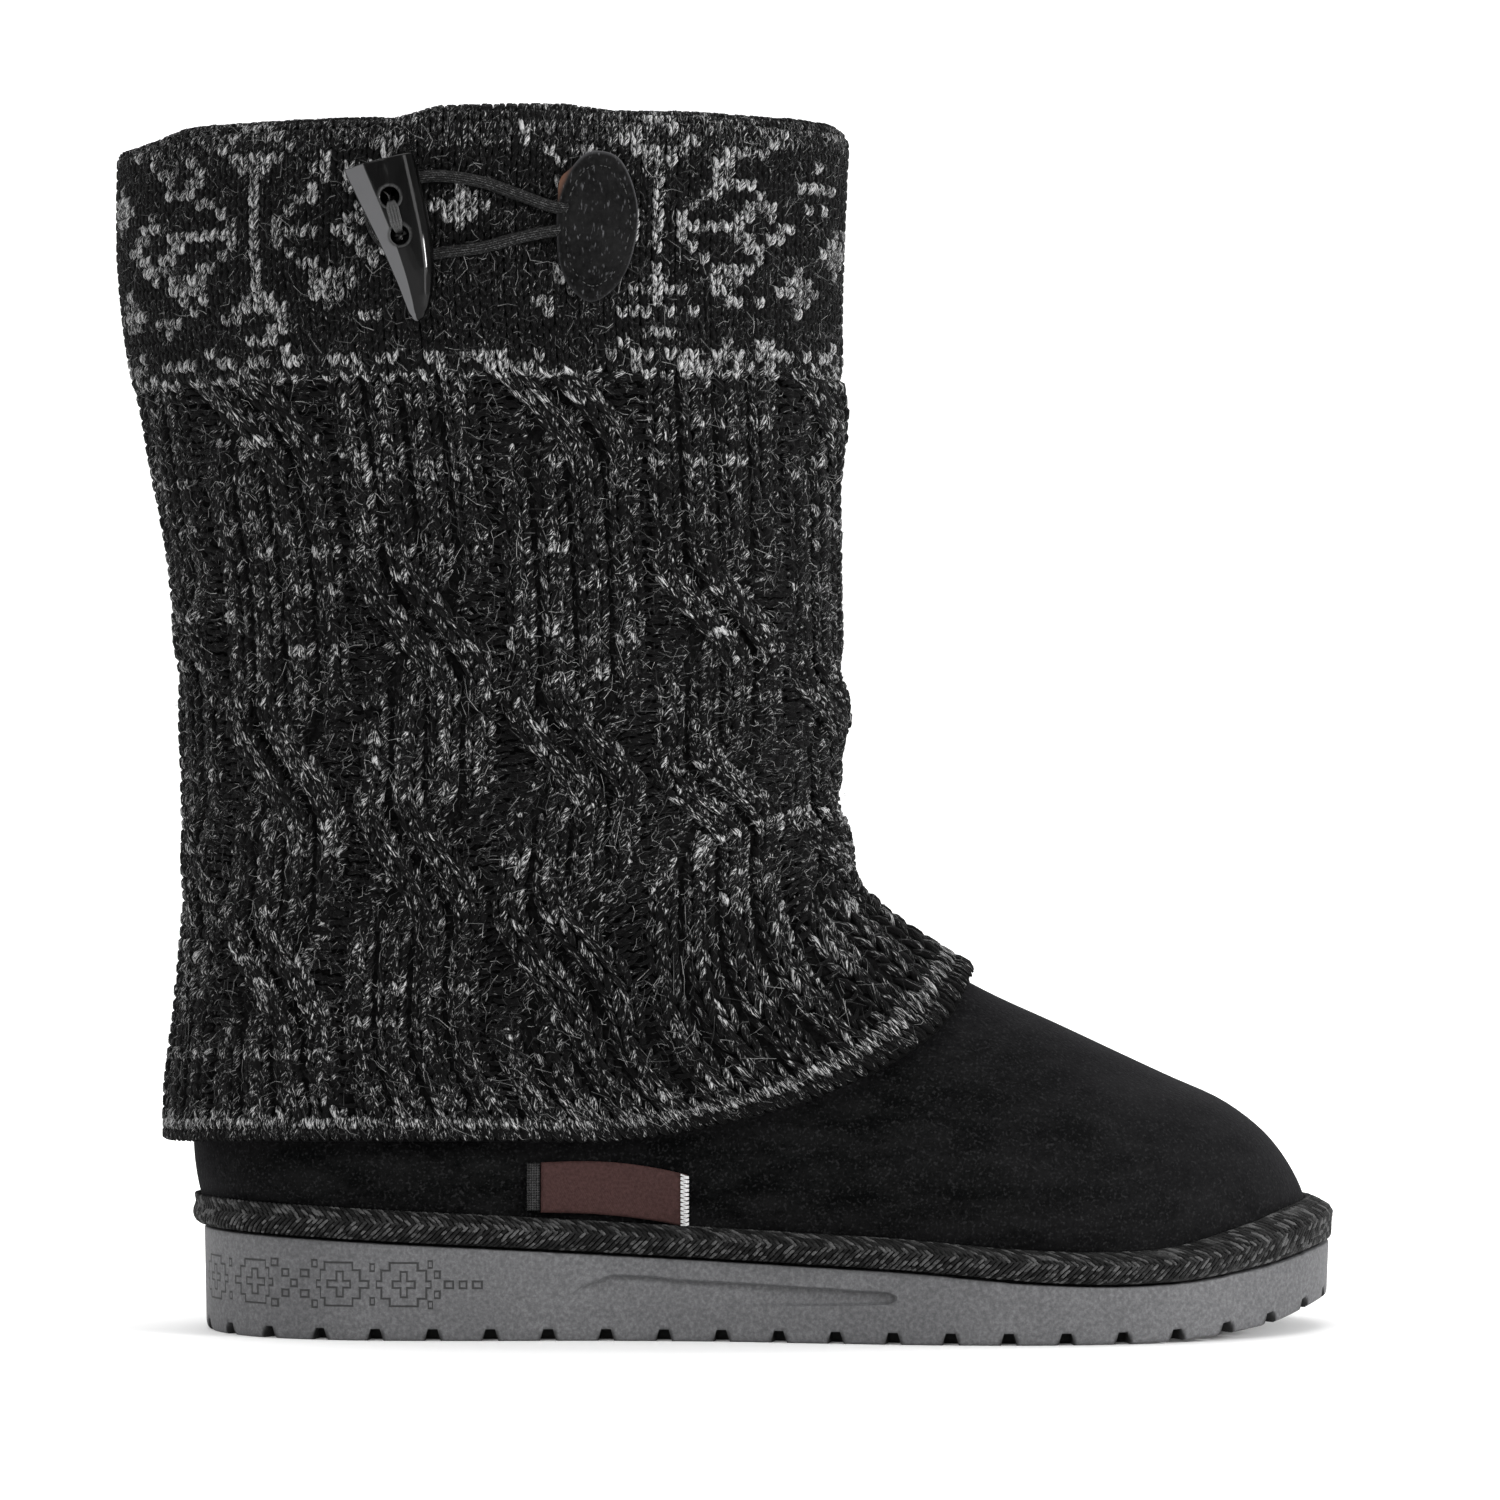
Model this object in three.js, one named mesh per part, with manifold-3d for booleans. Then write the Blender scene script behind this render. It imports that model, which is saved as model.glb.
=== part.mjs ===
// A right winter boot: suede foot and shaft on a moulded rubber sole, dressed in a cable-knit sleeve.
// Millimetres. +X points to the toe, +Y to the inner side of the foot, -Y to the outer side, +Z up.
// The origin lies on the ground under the middle of the heel.
import * as THREE from "three";
import { mergeGeometries, mergeVertices } from "three/addons/utils/BufferGeometryUtils.js";
import Module from "manifold-3d";

const wasm = await Module();
wasm.setup();

// Driving dimensions of the foot and the sole
const soleLength = 270;
const ballWidth = 100;
const heelToOrigin = 35; // from the back edge of the sole to the origin
const heelThickness = 24.5;
const ballThickness = 13.4;
const toeThickness = 10.8;
const toeSpring = 9.8; // how far the bottom of the toe tip stands off the ground
const clearance = 0.3; // between pieces that touch
const facetPlay = 0.25; // what flat facets take from the gap between two curved pieces
const upperWall = 2.6;
const insoleThickness = 6;
const insoleGap = 0.7; // play between the insole and the inside of the upper

// Driving dimensions of the shaft
const instepHeight = 108.5; // where the front of the shaft turns into the foot
const collarHeight = 279.5;
const collarRise = 3; // the front of the collar stands higher than its back
const ankleReach = 149; // from the back edge of the sole to the front of the shaft
const shaftLength = 166; // the collar, back to front
const shaftWidth = 92.4;

// Driving dimensions of the knit sleeve
const knitThickness = 4.2;
const turnedThickness = 3; // the part that is turned in inside the collar
const turnDepth = 25;
const hemHeight = 45.4; // at the back and along the sides
const hemLift = 37.5; // how much higher the hem runs over the instep
const hemFlare = 3.2;
const sleeveEase = 0.9; // extra play below the ankle
const cuffDepth = 57; // flat knit below the fold
const cableRepeats = 11;
const cablePhase = 0.74; // where the first gutter lies, in repeats from the back
const walePull = 0.045; // how far the wales at the hem keep to the back, as a share of its length
const strandRelief = 3;
const gutterDepth = 2;

// Driving dimensions of the sole's details
const lugPitch = 13.5;
const lugNotchWidth = 3.2;
const lugNotchDepth = 2.6;
const lugNotchReach = 6;
const treadDepth = 2;
const treadWidth = 4;
const treadSweep = 4; // how far the middle of a tread groove runs ahead of its ends
const treadMargin = 12; // plain rubber between the tread and the edge
const scoopDepth = 1.1;
const bindingHeight = 7.4;
const bindingBulge = 2.4;

// Driving dimensions of the closure and the trim
const toggleLength = 38;
const toggleWidth = 16.4;
const toggleDepth = 9.4;
const toggleHoleRadius = 2.2;
const toggleTop = { x: 11.4, below: 4.9 }; // its cut top, below the back of the collar
const toggleLean = 0.25; // radians, the tip towards the toe
const threadDiameter = 1.4;
const cordDiameter = 2.8;
const cordPastToggle = 2.5; // how far the loop runs past the top of the toggle
const cordSpread = 18.2; // the loop at its widest, behind the toggle
const patchWidth = 17.8;
const patchHeight = 35;
const patchEdge = 1.3;
const patchDome = 3.4;
const patchCentre = { x: 60.3, below: 19.1 };
const patchLean = 0.07;
const tapeWidth = 3;
const tapeThickness = 0.7;
const labelWidth = 34.5;
const labelHeight = 11.5;
const labelThickness = 0.8;
const labelDroop = 0.09; // radians, the free end hangs lower
const seamX = 46.5; // where the seam tape ends and the label starts
const seamLow = 30.5; // height of the lower end of the seam tape and the label
const seamHigh = 41.5;

// How finely each form is cut into facets
const soleSteps = 72;
const upperSteps = 40;
const knitSteps = 66;
const bodyRows = 17;
const cuffRows = 4;
const bindingSteps = 40;
const cordSteps = 34;

const soleBack = -heelToOrigin;

// Outline of the sole from heel to toe: the outer and the inner side of the middle line,
// as shares of the ball's width, at shares of the length.
const soleOutline = [
  { along: 0.018, outer: 0.17, inner: 0.17 },
  { along: 0.06, outer: 0.292, inner: 0.29 },
  { along: 0.13, outer: 0.365, inner: 0.362 },
  { along: 0.23, outer: 0.385, inner: 0.37 },
  { along: 0.35, outer: 0.38, inner: 0.34 },
  { along: 0.46, outer: 0.402, inner: 0.336 },
  { along: 0.56, outer: 0.455, inner: 0.38 },
  { along: 0.65, outer: 0.494, inner: 0.448 },
  { along: 0.74, outer: 0.5, inner: 0.494 },
  { along: 0.83, outer: 0.458, inner: 0.498 },
  { along: 0.9, outer: 0.372, inner: 0.452 },
  { along: 0.952, outer: 0.26, inner: 0.365 },
  { along: 0.986, outer: 0.125, inner: 0.235 },
];
const toeTipShift = 0.055; // the tip lies to the inner side, as a share of the ball's width

// Side view of the sole. heel and toe are the parts that the heel's and the toe's height take in
// the height of the top edge, the rest being the ball's, and spring is a share of the toe spring.
const soleProfile = [
  { along: 0, heel: 1, toe: 0, spring: 0 },
  { along: 0.2, heel: 0.8, toe: 0, spring: 0 },
  { along: 0.42, heel: 0.53, toe: 0, spring: 0 },
  { along: 0.62, heel: 0.3, toe: 0, spring: 0 },
  { along: 0.76, heel: 0.03, toe: 0, spring: 0 },
  { along: 0.86, heel: 0, toe: 0.07, spring: 0.07 },
  { along: 0.94, heel: 0, toe: 0.5, spring: 0.42 },
  { along: 1, heel: 0, toe: 1, spring: 1 },
];

// Slices of the suede foot, from the sole up. height is a share of the instep's height, back and
// front are shares of the sole's length, width is a share of the ball's width, oval turns the
// foot's outline into the shaft's, and follow is how closely a slice keeps to the sole's top.
const footSlices = [
  { height: 0.228, back: 0.022, front: 0.974, width: 0.868, oval: 0, follow: 1 },
  { height: 0.253, back: 0.009, front: 0.978, width: 0.905, oval: 0, follow: 0.85 },
  { height: 0.286, back: 0, front: 0.979, width: 0.932, oval: 0, follow: 0.65 },
  { height: 0.332, back: -0.005, front: 0.973, width: 0.946, oval: 0, follow: 0.45 },
  { height: 0.392, back: -0.008, front: 0.958, width: 0.936, oval: 0, follow: 0.25 },
  { height: 0.447, back: -0.0085, front: 0.937, width: 0.897, oval: 0.02, follow: 0.1 },
  { height: 0.502, back: -0.008, front: 0.904, width: 0.846, oval: 0.08, follow: 0 },
  { height: 0.553, back: -0.0074, front: 0.859, width: 0.802, oval: 0.17, follow: 0 },
  { height: 0.608, back: -0.0067, front: 0.81, width: 0.766, oval: 0.28, follow: 0 },
  { height: 0.673, back: -0.006, front: 0.754, width: 0.738, oval: 0.42, follow: 0 },
  { height: 0.737, back: -0.0056, front: 0.698, width: 0.722, oval: 0.58, follow: 0 },
  { height: 0.802, back: -0.0048, front: 0.65, width: 0.717, oval: 0.74, follow: 0 },
  { height: 0.876, back: -0.0037, front: 0.605, width: 0.724, oval: 0.88, follow: 0 },
  { height: 0.95, back: -0.0022, front: 0.571, width: 0.738, oval: 0.97, follow: 0 },
];

// Slices of the shaft. height is a share of the way from the instep to the collar, back and front
// are shares of the shaft's length, behind and ahead of its front line, width is a share of the
// shaft's width.
const shaftSlices = [
  { height: 0.02, back: 0.899, front: 0.004, width: 0.818 },
  { height: 0.096, back: 0.9, front: -0.004, width: 0.836 },
  { height: 0.22, back: 0.906, front: -0.004, width: 0.866 },
  { height: 0.395, back: 0.92, front: 0, width: 0.9 },
  { height: 0.57, back: 0.952, front: -0.001, width: 0.937 },
  { height: 0.746, back: 0.984, front: -0.004, width: 0.97 },
  { height: 0.874, back: 0.996, front: -0.001, width: 0.987 },
  { height: 1, back: 0.995, front: 0.005, width: 1 },
];

// A smooth value between the rows of a table, at a row number that may be a fraction.
function rowValue(table, column, row) {
  const last = table.length - 1;
  const held = THREE.MathUtils.clamp(row, 0, last);
  const from = Math.min(Math.floor(held), last - 1);
  const at = (index) => table[THREE.MathUtils.clamp(index, 0, last)][column];
  const t = held - from;
  const slopeIn = (at(from + 1) - at(from - 1)) / 2;
  const slopeOut = (at(from + 2) - at(from)) / 2;
  const a = 2 * at(from) - 2 * at(from + 1) + slopeIn + slopeOut;
  const b = 3 * at(from + 1) - 3 * at(from) - 2 * slopeIn - slopeOut;
  return ((a * t + b) * t + slopeIn) * t + at(from);
}

// The value at a share of the length, from a table whose rows are not evenly spaced.
function alongValue(table, column, share) {
  let row = 0;
  while (row < table.length - 2 && table[row + 1].along < share) row += 1;
  const span = table[row + 1].along - table[row].along;
  return rowValue(table, column, row + THREE.MathUtils.clamp((share - table[row].along) / span, 0, 1));
}

const shareOf = (x) => THREE.MathUtils.clamp((x - soleBack) / soleLength, 0, 1);

// Top and bottom of the sole's side at a place along it.
function soleTop(x) {
  const heel = alongValue(soleProfile, "heel", shareOf(x));
  const toe = alongValue(soleProfile, "toe", shareOf(x));
  return heel * heelThickness + toe * (toeThickness + toeSpring) + (1 - heel - toe) * ballThickness;
}
const soleBottom = (x) => Math.max(0, alongValue(soleProfile, "spring", shareOf(x))) * toeSpring;

// The sole's outline as a closed curve, counter-clockwise from the back of the heel.
function outlineCurve() {
  const outer = soleOutline.map((row) => new THREE.Vector3(row.along, -row.outer, 0));
  const inner = soleOutline.map((row) => new THREE.Vector3(row.along, row.inner, 0)).reverse();
  const heelTip = new THREE.Vector3(0, 0, 0);
  const toeTip = new THREE.Vector3(1, toeTipShift, 0);
  const scaled = [heelTip, ...outer, toeTip, ...inner].map(
    (p) => new THREE.Vector3(p.x * soleLength, p.y * ballWidth, 0),
  );
  const curve = new THREE.CatmullRomCurve3(scaled, true, "centripetal");
  curve.arcLengthDivisions = 1200;
  return curve;
}
const footCurve = outlineCurve();

// The shaft's oval, evenly spaced around, from the back by the outer side.
const ovalCurve = new THREE.EllipseCurve(0, 0, shaftLength / 2, shaftWidth / 2, Math.PI, 3 * Math.PI);
ovalCurve.arcLengthDivisions = 1200;

const wrap = (t) => ((t % 1) + 1) % 1;

// A point of the sole's outline, pushed in by a distance.
function outlinePoint(t, inset = 0) {
  const p = footCurve.getPointAt(wrap(t));
  const tangent = footCurve.getTangentAt(wrap(t));
  return new THREE.Vector3(
    soleBack + p.x - tangent.y * inset,
    p.y + tangent.x * inset,
    0,
  );
}

// Half the width and the length share of both outlines, each running from 0 to 1 along and from
// -0.5 to 0.5 across.
function planPoint(t, oval) {
  const foot = footCurve.getPointAt(wrap(t));
  const round = ovalCurve.getPointAt(wrap(t));
  return {
    along: THREE.MathUtils.lerp(foot.x / soleLength, 0.5 + round.x / shaftLength, oval),
    across: THREE.MathUtils.lerp(foot.y / ballWidth, round.y / shaftWidth, oval),
  };
}

// All slices of the upper in millimetres.
const upperSlices = [
  ...footSlices.map((s) => ({
    z: s.height * instepHeight,
    back: soleBack + s.back * soleLength,
    front: soleBack + s.front * soleLength,
    width: s.width * ballWidth,
    oval: s.oval,
    follow: s.follow,
    rise: 0,
  })),
  ...shaftSlices.map((s) => ({
    z: THREE.MathUtils.lerp(instepHeight, collarHeight, s.height),
    back: soleBack + ankleReach - s.back * shaftLength,
    front: soleBack + ankleReach + s.front * shaftLength,
    width: s.width * shaftWidth,
    oval: 1,
    follow: 0,
    rise: s.height * s.height * collarRise,
  })),
];
const topRow = upperSlices.length - 1;
const lowestLevelRow = footSlices.length + 3; // the inside of the sleeve keeps to the slices above it

// A point on the outside of the upper: t goes around, row goes up through the slices.
function upperPoint(t, row) {
  const plan = planPoint(t, rowValue(upperSlices, "oval", row));
  const back = rowValue(upperSlices, "back", row);
  const front = rowValue(upperSlices, "front", row);
  const x = THREE.MathUtils.lerp(back, front, plan.along);
  const y = plan.across * rowValue(upperSlices, "width", row);
  const sag = soleTop(x) + clearance - upperSlices[0].z;
  const z =
    rowValue(upperSlices, "z", row) +
    sag * rowValue(upperSlices, "follow", row) +
    plan.along * rowValue(upperSlices, "rise", row);
  return new THREE.Vector3(x, y, z);
}

function upperNormal(t, row) {
  const dt = 0.002;
  const dr = 0.02;
  const low = Math.max(row - dr, 0);
  const high = Math.min(row + dr, topRow);
  const around = upperPoint(t + dt, row).sub(upperPoint(t - dt, row));
  const upward = upperPoint(t, high).sub(upperPoint(t, low));
  return around.cross(upward).normalize();
}

const upperOffset = (t, row, distance) => upperPoint(t, row).addScaledVector(upperNormal(t, row), distance);

// The row at which the upper reaches a height.
function rowAtHeight(t, z) {
  let low = 0;
  let high = topRow;
  for (let step = 0; step < 24; step += 1) {
    const middle = (low + high) / 2;
    if (upperPoint(t, middle).z < z) low = middle;
    else high = middle;
  }
  return (low + high) / 2;
}

// The place on the outer side where the upper has a given x and z.
function outerSide(x, z) {
  let back = 0.03;
  let front = 0.47;
  for (let step = 0; step < 24; step += 1) {
    const middle = (back + front) / 2;
    if (upperPoint(middle, rowAtHeight(middle, z)).x < x) back = middle;
    else front = middle;
  }
  const t = (back + front) / 2;
  return { t, row: rowAtHeight(t, z) };
}

// A closed mesh from rings of points. Each ring is joined to the next, and the last to the first
// where the form is a loop; otherwise both ends are closed with a ladder of strips.
function ringMesh(rings, loops) {
  const count = rings[0].length;
  const positions = rings.flat().flatMap((p) => [p.x, p.y, p.z]);
  const index = [];
  const bands = loops ? rings.length : rings.length - 1;
  for (let r = 0; r < bands; r += 1) {
    const lower = r * count;
    const upper = ((r + 1) % rings.length) * count;
    for (let i = 0; i < count; i += 1) {
      const next = (i + 1) % count;
      index.push(lower + i, lower + next, upper + next);
      index.push(lower + i, upper + next, upper + i);
    }
  }
  if (!loops) {
    const last = (rings.length - 1) * count;
    for (let i = 0; i < count / 2; i += 1) {
      const a = i;
      const b = i + 1;
      const c = count - 1 - i;
      const d = (count - i) % count;
      for (const [start, flip] of [[0, true], [last, false]]) {
        const quads = d === a ? [[a, b, c]] : b === c ? [[a, b, d]] : [[a, b, c], [a, c, d]];
        for (const [p, q, r] of quads) index.push(start + p, start + (flip ? r : q), start + (flip ? q : r));
      }
    }
  }
  const geometry = new THREE.BufferGeometry();
  geometry.setAttribute("position", new THREE.Float32BufferAttribute(positions, 3));
  geometry.setIndex(index);
  return geometry;
}

const ring = (count, place) => Array.from({ length: count }, (_, i) => place(i / count, i));

function toSolid(geometry) {
  const bare = geometry.clone();
  bare.deleteAttribute("normal");
  bare.deleteAttribute("uv");
  const merged = mergeVertices(bare, 1e-4);
  return new wasm.Manifold(
    new wasm.Mesh({
      numProp: 3,
      vertProperties: merged.attributes.position.array,
      triVerts: new Uint32Array(merged.index.array),
    }),
  );
}

function fromSolid(solid) {
  const mesh = solid.getMesh();
  const geometry = new THREE.BufferGeometry();
  geometry.setAttribute("position", new THREE.BufferAttribute(mesh.vertProperties, 3));
  geometry.setIndex(new THREE.BufferAttribute(mesh.triVerts, 1));
  return geometry;
}

const joinAll = (geometries) => toSolid(mergeGeometries(geometries));

// Section of the sole's side: how far each ring stands in, at shares of the side's height.
const soleSide = [
  { up: 0, inset: 2.6 },
  { up: 0.1, inset: 1 },
  { up: 1, inset: 0 },
];

// The moulded rubber sole with its toothed edge, tread and side scoops.
function outsole() {
  const rings = soleSide.map(({ up, inset }) =>
    ring(soleSteps, (t) => {
      const edge = outlinePoint(t);
      const p = outlinePoint(t, inset);
      p.z = THREE.MathUtils.lerp(soleBottom(edge.x), soleTop(edge.x), up);
      return p;
    }),
  );
  let body = toSolid(ringMesh(rings, false));
  body = body.subtract(joinAll(lugNotches()));
  body = body.subtract(joinAll(treadGrooves()));
  return fromSolid(body.subtract(joinAll(sideScoops())));
}

// Wedge-shaped notches, evenly spaced along the bottom edge.
function lugNotches() {
  const around = footCurve.getLength();
  const count = Math.round(around / lugPitch);
  const below = 1;
  const slope = (lugNotchWidth * 0.22) / lugNotchDepth;
  const half = lugNotchWidth / 2;
  const profile = new THREE.Shape([
    new THREE.Vector2(-half - slope * below, -below),
    new THREE.Vector2(half + slope * below, -below),
    new THREE.Vector2(half - slope * lugNotchDepth, lugNotchDepth),
    new THREE.Vector2(-half + slope * lugNotchDepth, lugNotchDepth),
  ]);
  return Array.from({ length: count }, (_, i) => {
    const t = (i + 0.66) / count;
    const tangent = footCurve.getTangentAt(t);
    const start = outlinePoint(t, lugNotchReach);
    const notch = new THREE.ExtrudeGeometry(profile, { depth: lugNotchReach + 2, bevelEnabled: false });
    const outward = new THREE.Vector3(tangent.y, -tangent.x, 0);
    const across = new THREE.Vector3(tangent.x, tangent.y, 0);
    notch.applyMatrix4(new THREE.Matrix4().makeBasis(across, new THREE.Vector3(0, 0, 1), outward));
    notch.translate(start.x, start.y, soleBottom(outlinePoint(t).x));
    return notch;
  });
}

// Chevron grooves under the heel and under the ball; the middle of the foot stays plain.
function treadGrooves() {
  const heelGrooves = [-0.75, 0.75, 2.25];
  const ballGrooves = [8.25, 9.75, 11.25, 12.75, 14.25];
  return [...heelGrooves, ...ballGrooves].map((place) => {
    const x = place * lugPitch;
    const half = sideReach(x) - treadMargin;
    const ahead = treadSweep;
    const w = treadWidth / 2;
    const profile = new THREE.Shape([
      new THREE.Vector2(x - w, -half),
      new THREE.Vector2(x + w, -half),
      new THREE.Vector2(x + w + ahead, 0),
      new THREE.Vector2(x + w, half),
      new THREE.Vector2(x - w, half),
      new THREE.Vector2(x - w + ahead, 0),
    ]);
    const groove = new THREE.ExtrudeGeometry(profile, { depth: treadDepth + 1, bevelEnabled: false });
    groove.translate(0, 0, soleBottom(x) - 1);
    return groove;
  });
}

// The narrower of the two sides of the outline at a place along it.
function sideReach(x) {
  const along = shareOf(x);
  const outer = alongValue(soleOutline, "outer", along);
  const inner = alongValue(soleOutline, "inner", along);
  return Math.min(outer, inner) * ballWidth;
}

// Shallow scoop on each side of the waist, sharp at its top edge and fading downwards. The columns
// are shares of the sole's length and of the heel's thickness.
const scoopShape = [
  { along: 0.31, low: 0.32, high: 0.34 },
  { along: 0.335, low: 0.325, high: 0.5 },
  { along: 0.365, low: 0.33, high: 0.63 },
  { along: 0.43, low: 0.335, high: 0.59 },
  { along: 0.5, low: 0.345, high: 0.555 },
  { along: 0.56, low: 0.36, high: 0.525 },
  { along: 0.6, low: 0.375, high: 0.5 },
  { along: 0.611, low: 0.41, high: 0.465 },
];
const scoopOutside = 4; // how far the cutter reaches out past the side

function sideScoops() {
  return [-1, 1].map((side) => {
    const sections = scoopShape.map(({ along, low, high }) => {
      const share = footShareAt(along, side);
      const place = (inset, z) => {
        const p = outlinePoint(share, inset);
        return new THREE.Vector3(p.x, p.y, z * heelThickness);
      };
      const corners = [
        place(0.1, low),
        place(-scoopOutside, low),
        place(-scoopOutside, high + 0.02),
        place(scoopDepth, high),
      ];
      return side < 0 ? corners : corners.reverse();
    });
    return ringMesh(sections.reverse(), false);
  });
}

// The place around the outline that lies at a share of the length, on the outer (-1) or inner side.
function footShareAt(along, side) {
  let near = side < 0 ? 0 : 1;
  let far = 0.5;
  for (let step = 0; step < 24; step += 1) {
    const middle = (near + far) / 2;
    if (footCurve.getPointAt(middle).x < along * soleLength) near = middle;
    else far = middle;
  }
  return (near + far) / 2;
}

// The suede foot and shaft: one wall, open at the collar and underneath.
function upper() {
  const rows = Array.from({ length: topRow + 1 }, (_, row) => row);
  const outside = rows.map((row) => ring(upperSteps, (t) => upperPoint(t, row)));
  const inside = rows.map((row) => ring(upperSteps, (t) => innerUpper(t, row, upperWall)));
  return ringMesh([...outside, ...inside.reverse()], true);
}

// Inside of the upper. The bottom and the collar edge stay level with the outside.
function innerUpper(t, row, depth) {
  const p = upperOffset(t, row, -depth);
  if (row === 0 || row === topRow) p.z = upperPoint(t, row).z;
  return p;
}

// The foot bed, cut to the inside of the upper.
function insole() {
  const depth = upperWall + insoleGap;
  const bed = (t, lift) => {
    const p = innerUpper(t, 0, depth);
    p.z = soleTop(p.x) + clearance + lift;
    return p;
  };
  const softEdge = 1.5;
  const top = ring(bindingSteps, (t) => {
    const p = innerUpper(t, 0, depth + softEdge);
    p.z = soleTop(p.x) + clearance + insoleThickness;
    return p;
  });
  const edge = ring(bindingSteps, (t) => bed(t, insoleThickness - softEdge));
  return ringMesh([ring(bindingSteps, (t) => bed(t, 0)), edge, top], false);
}

// Section of the padded roll. out is a share of its bulge past the sole's edge, up of its height.
const bindingSection = [
  { out: -0.3, up: 0.04 },
  { out: 0.7, up: 0.17 },
  { out: 1, up: 0.45 },
  { out: 0.72, up: 0.74 },
];
const bindingCrest = 1.3; // how far the roll's top stands off the suede

function binding() {
  const footRowAt = (t, up) => rowAtHeight(t, soleTop(outlinePoint(t).x) + clearance + up);
  const against = (t, up, stand) => {
    const p = upperOffset(t, footRowAt(t, up), clearance + stand);
    p.z = soleTop(outlinePoint(t).x) + clearance + up;
    return p;
  };
  const place = (t, step) => {
    if (step < bindingSection.length) {
      const { out, up } = bindingSection[step];
      const p = outlinePoint(t, -out * bindingBulge);
      p.z = soleTop(outlinePoint(t).x) + clearance + up * bindingHeight;
      return p;
    }
    if (step === 4) return against(t, bindingHeight, bindingCrest);
    const innerUp = [0.86, 0.42, 0.04][step - 5];
    return against(t, innerUp * bindingHeight, facetPlay);
  };
  const rings = Array.from({ length: 8 }, (_, step) => ring(bindingSteps, (t) => place(t, step)));
  return ringMesh(rings, true);
}

// How high the hem stands above its back, around the boot.
function hemRise(t) {
  const along = planPoint(t, 0).along;
  return hemLift * THREE.MathUtils.clamp((along - 0.38) / 0.62, 0, 1) ** 1.3;
}

// Height of a course of the knit: level under the collar, tilting with the hem further down.
function courseHeight(t, down) {
  const along = planPoint(t, 1).along;
  const top = collarHeight + along * collarRise;
  return top - down * (top - hemHeight) + hemRise(t) * THREE.MathUtils.smoothstep(down, 0.35, 1);
}

// How far the knit stands off the suede.
function sleeveStand(t, down) {
  const backness = 1 - THREE.MathUtils.smoothstep(planPoint(t, 0.5).along, 0.5, 0.95);
  const flare = hemFlare * backness * THREE.MathUtils.smoothstep(down, 0.78, 1);
  return clearance + facetPlay + sleeveEase * THREE.MathUtils.smoothstep(down, 0.42, 0.6) + flare;
}

const cuffShare = cuffDepth / (collarHeight - hemHeight);

// The wale that runs through a place: every course shares out its length as the collar does, so
// that the wales hang down and fan out a little over the instep.
function waleShare(t, down) {
  const reach = (share) => upperPoint(share, rowAtHeight(share, courseHeight(share, down))).x;
  const along = (reach(t) - reach(0)) / (reach(0.5) - reach(0));
  const pull = walePull * THREE.MathUtils.smoothstep(down, 0.5, 1) * Math.sin(Math.PI * along);
  const goal = along + pull * (1.6 - 1.4 * along);
  let low = 0;
  let high = 0.5;
  for (let step = 0; step < 20; step += 1) {
    const middle = (low + high) / 2;
    if (planPoint(middle, 1).along < goal) low = middle;
    else high = middle;
  }
  return t < 0.5 ? low : 1 - low;
}

// Cable crossings, as shares of the way from the cuff to the hem, for the two kinds of cable.
const crossings = [
  [0.04, 0.51, 0.775],
  [0.33, 0.63],
];
const crossingLength = 0.11;
const lastBeforeTwins = 5; // the kinds alternate, but for two alike side by side on the inner side

// Relief of the cables: two strands side by side that change places at each crossing.
function cableRelief(t, down) {
  if (down <= cuffShare) return 0;
  const body = (down - cuffShare) / (1 - cuffShare);
  const place = waleShare(t, down) * cableRepeats - cablePhase;
  const across = wrap(place);
  const cable = THREE.MathUtils.euclideanModulo(Math.floor(place), cableRepeats);
  const kind = (cable > lastBeforeTwins ? cable + 1 : cable) % 2;
  const gutter = Math.min(across, 1 - across);
  const groove = 1 - THREE.MathUtils.smoothstep(gutter, 0, 0.14);
  const split = 1 - THREE.MathUtils.smoothstep(Math.abs(across - 0.5), 0, 0.12);
  let height = strandRelief * 0.45 - gutterDepth * groove - 0.5 * gutterDepth * split;
  for (const centre of crossings[kind]) {
    const turn = (body - centre) / crossingLength;
    if (Math.abs(turn) > 1) continue;
    const strand = THREE.MathUtils.lerp(0.27, 0.73, (turn + 1) / 2);
    const onTop = Math.exp(-(((across - strand) / 0.17) ** 2));
    const fade = 1 - turn * turn;
    height += fade * (strandRelief * onTop + 0.5 * gutterDepth * split - gutterDepth * 0.4 * (1 - onTop));
  }
  return height * THREE.MathUtils.smoothstep(body, 0, 0.03) * (1 - THREE.MathUtils.smoothstep(body, 0.97, 1));
}

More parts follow.
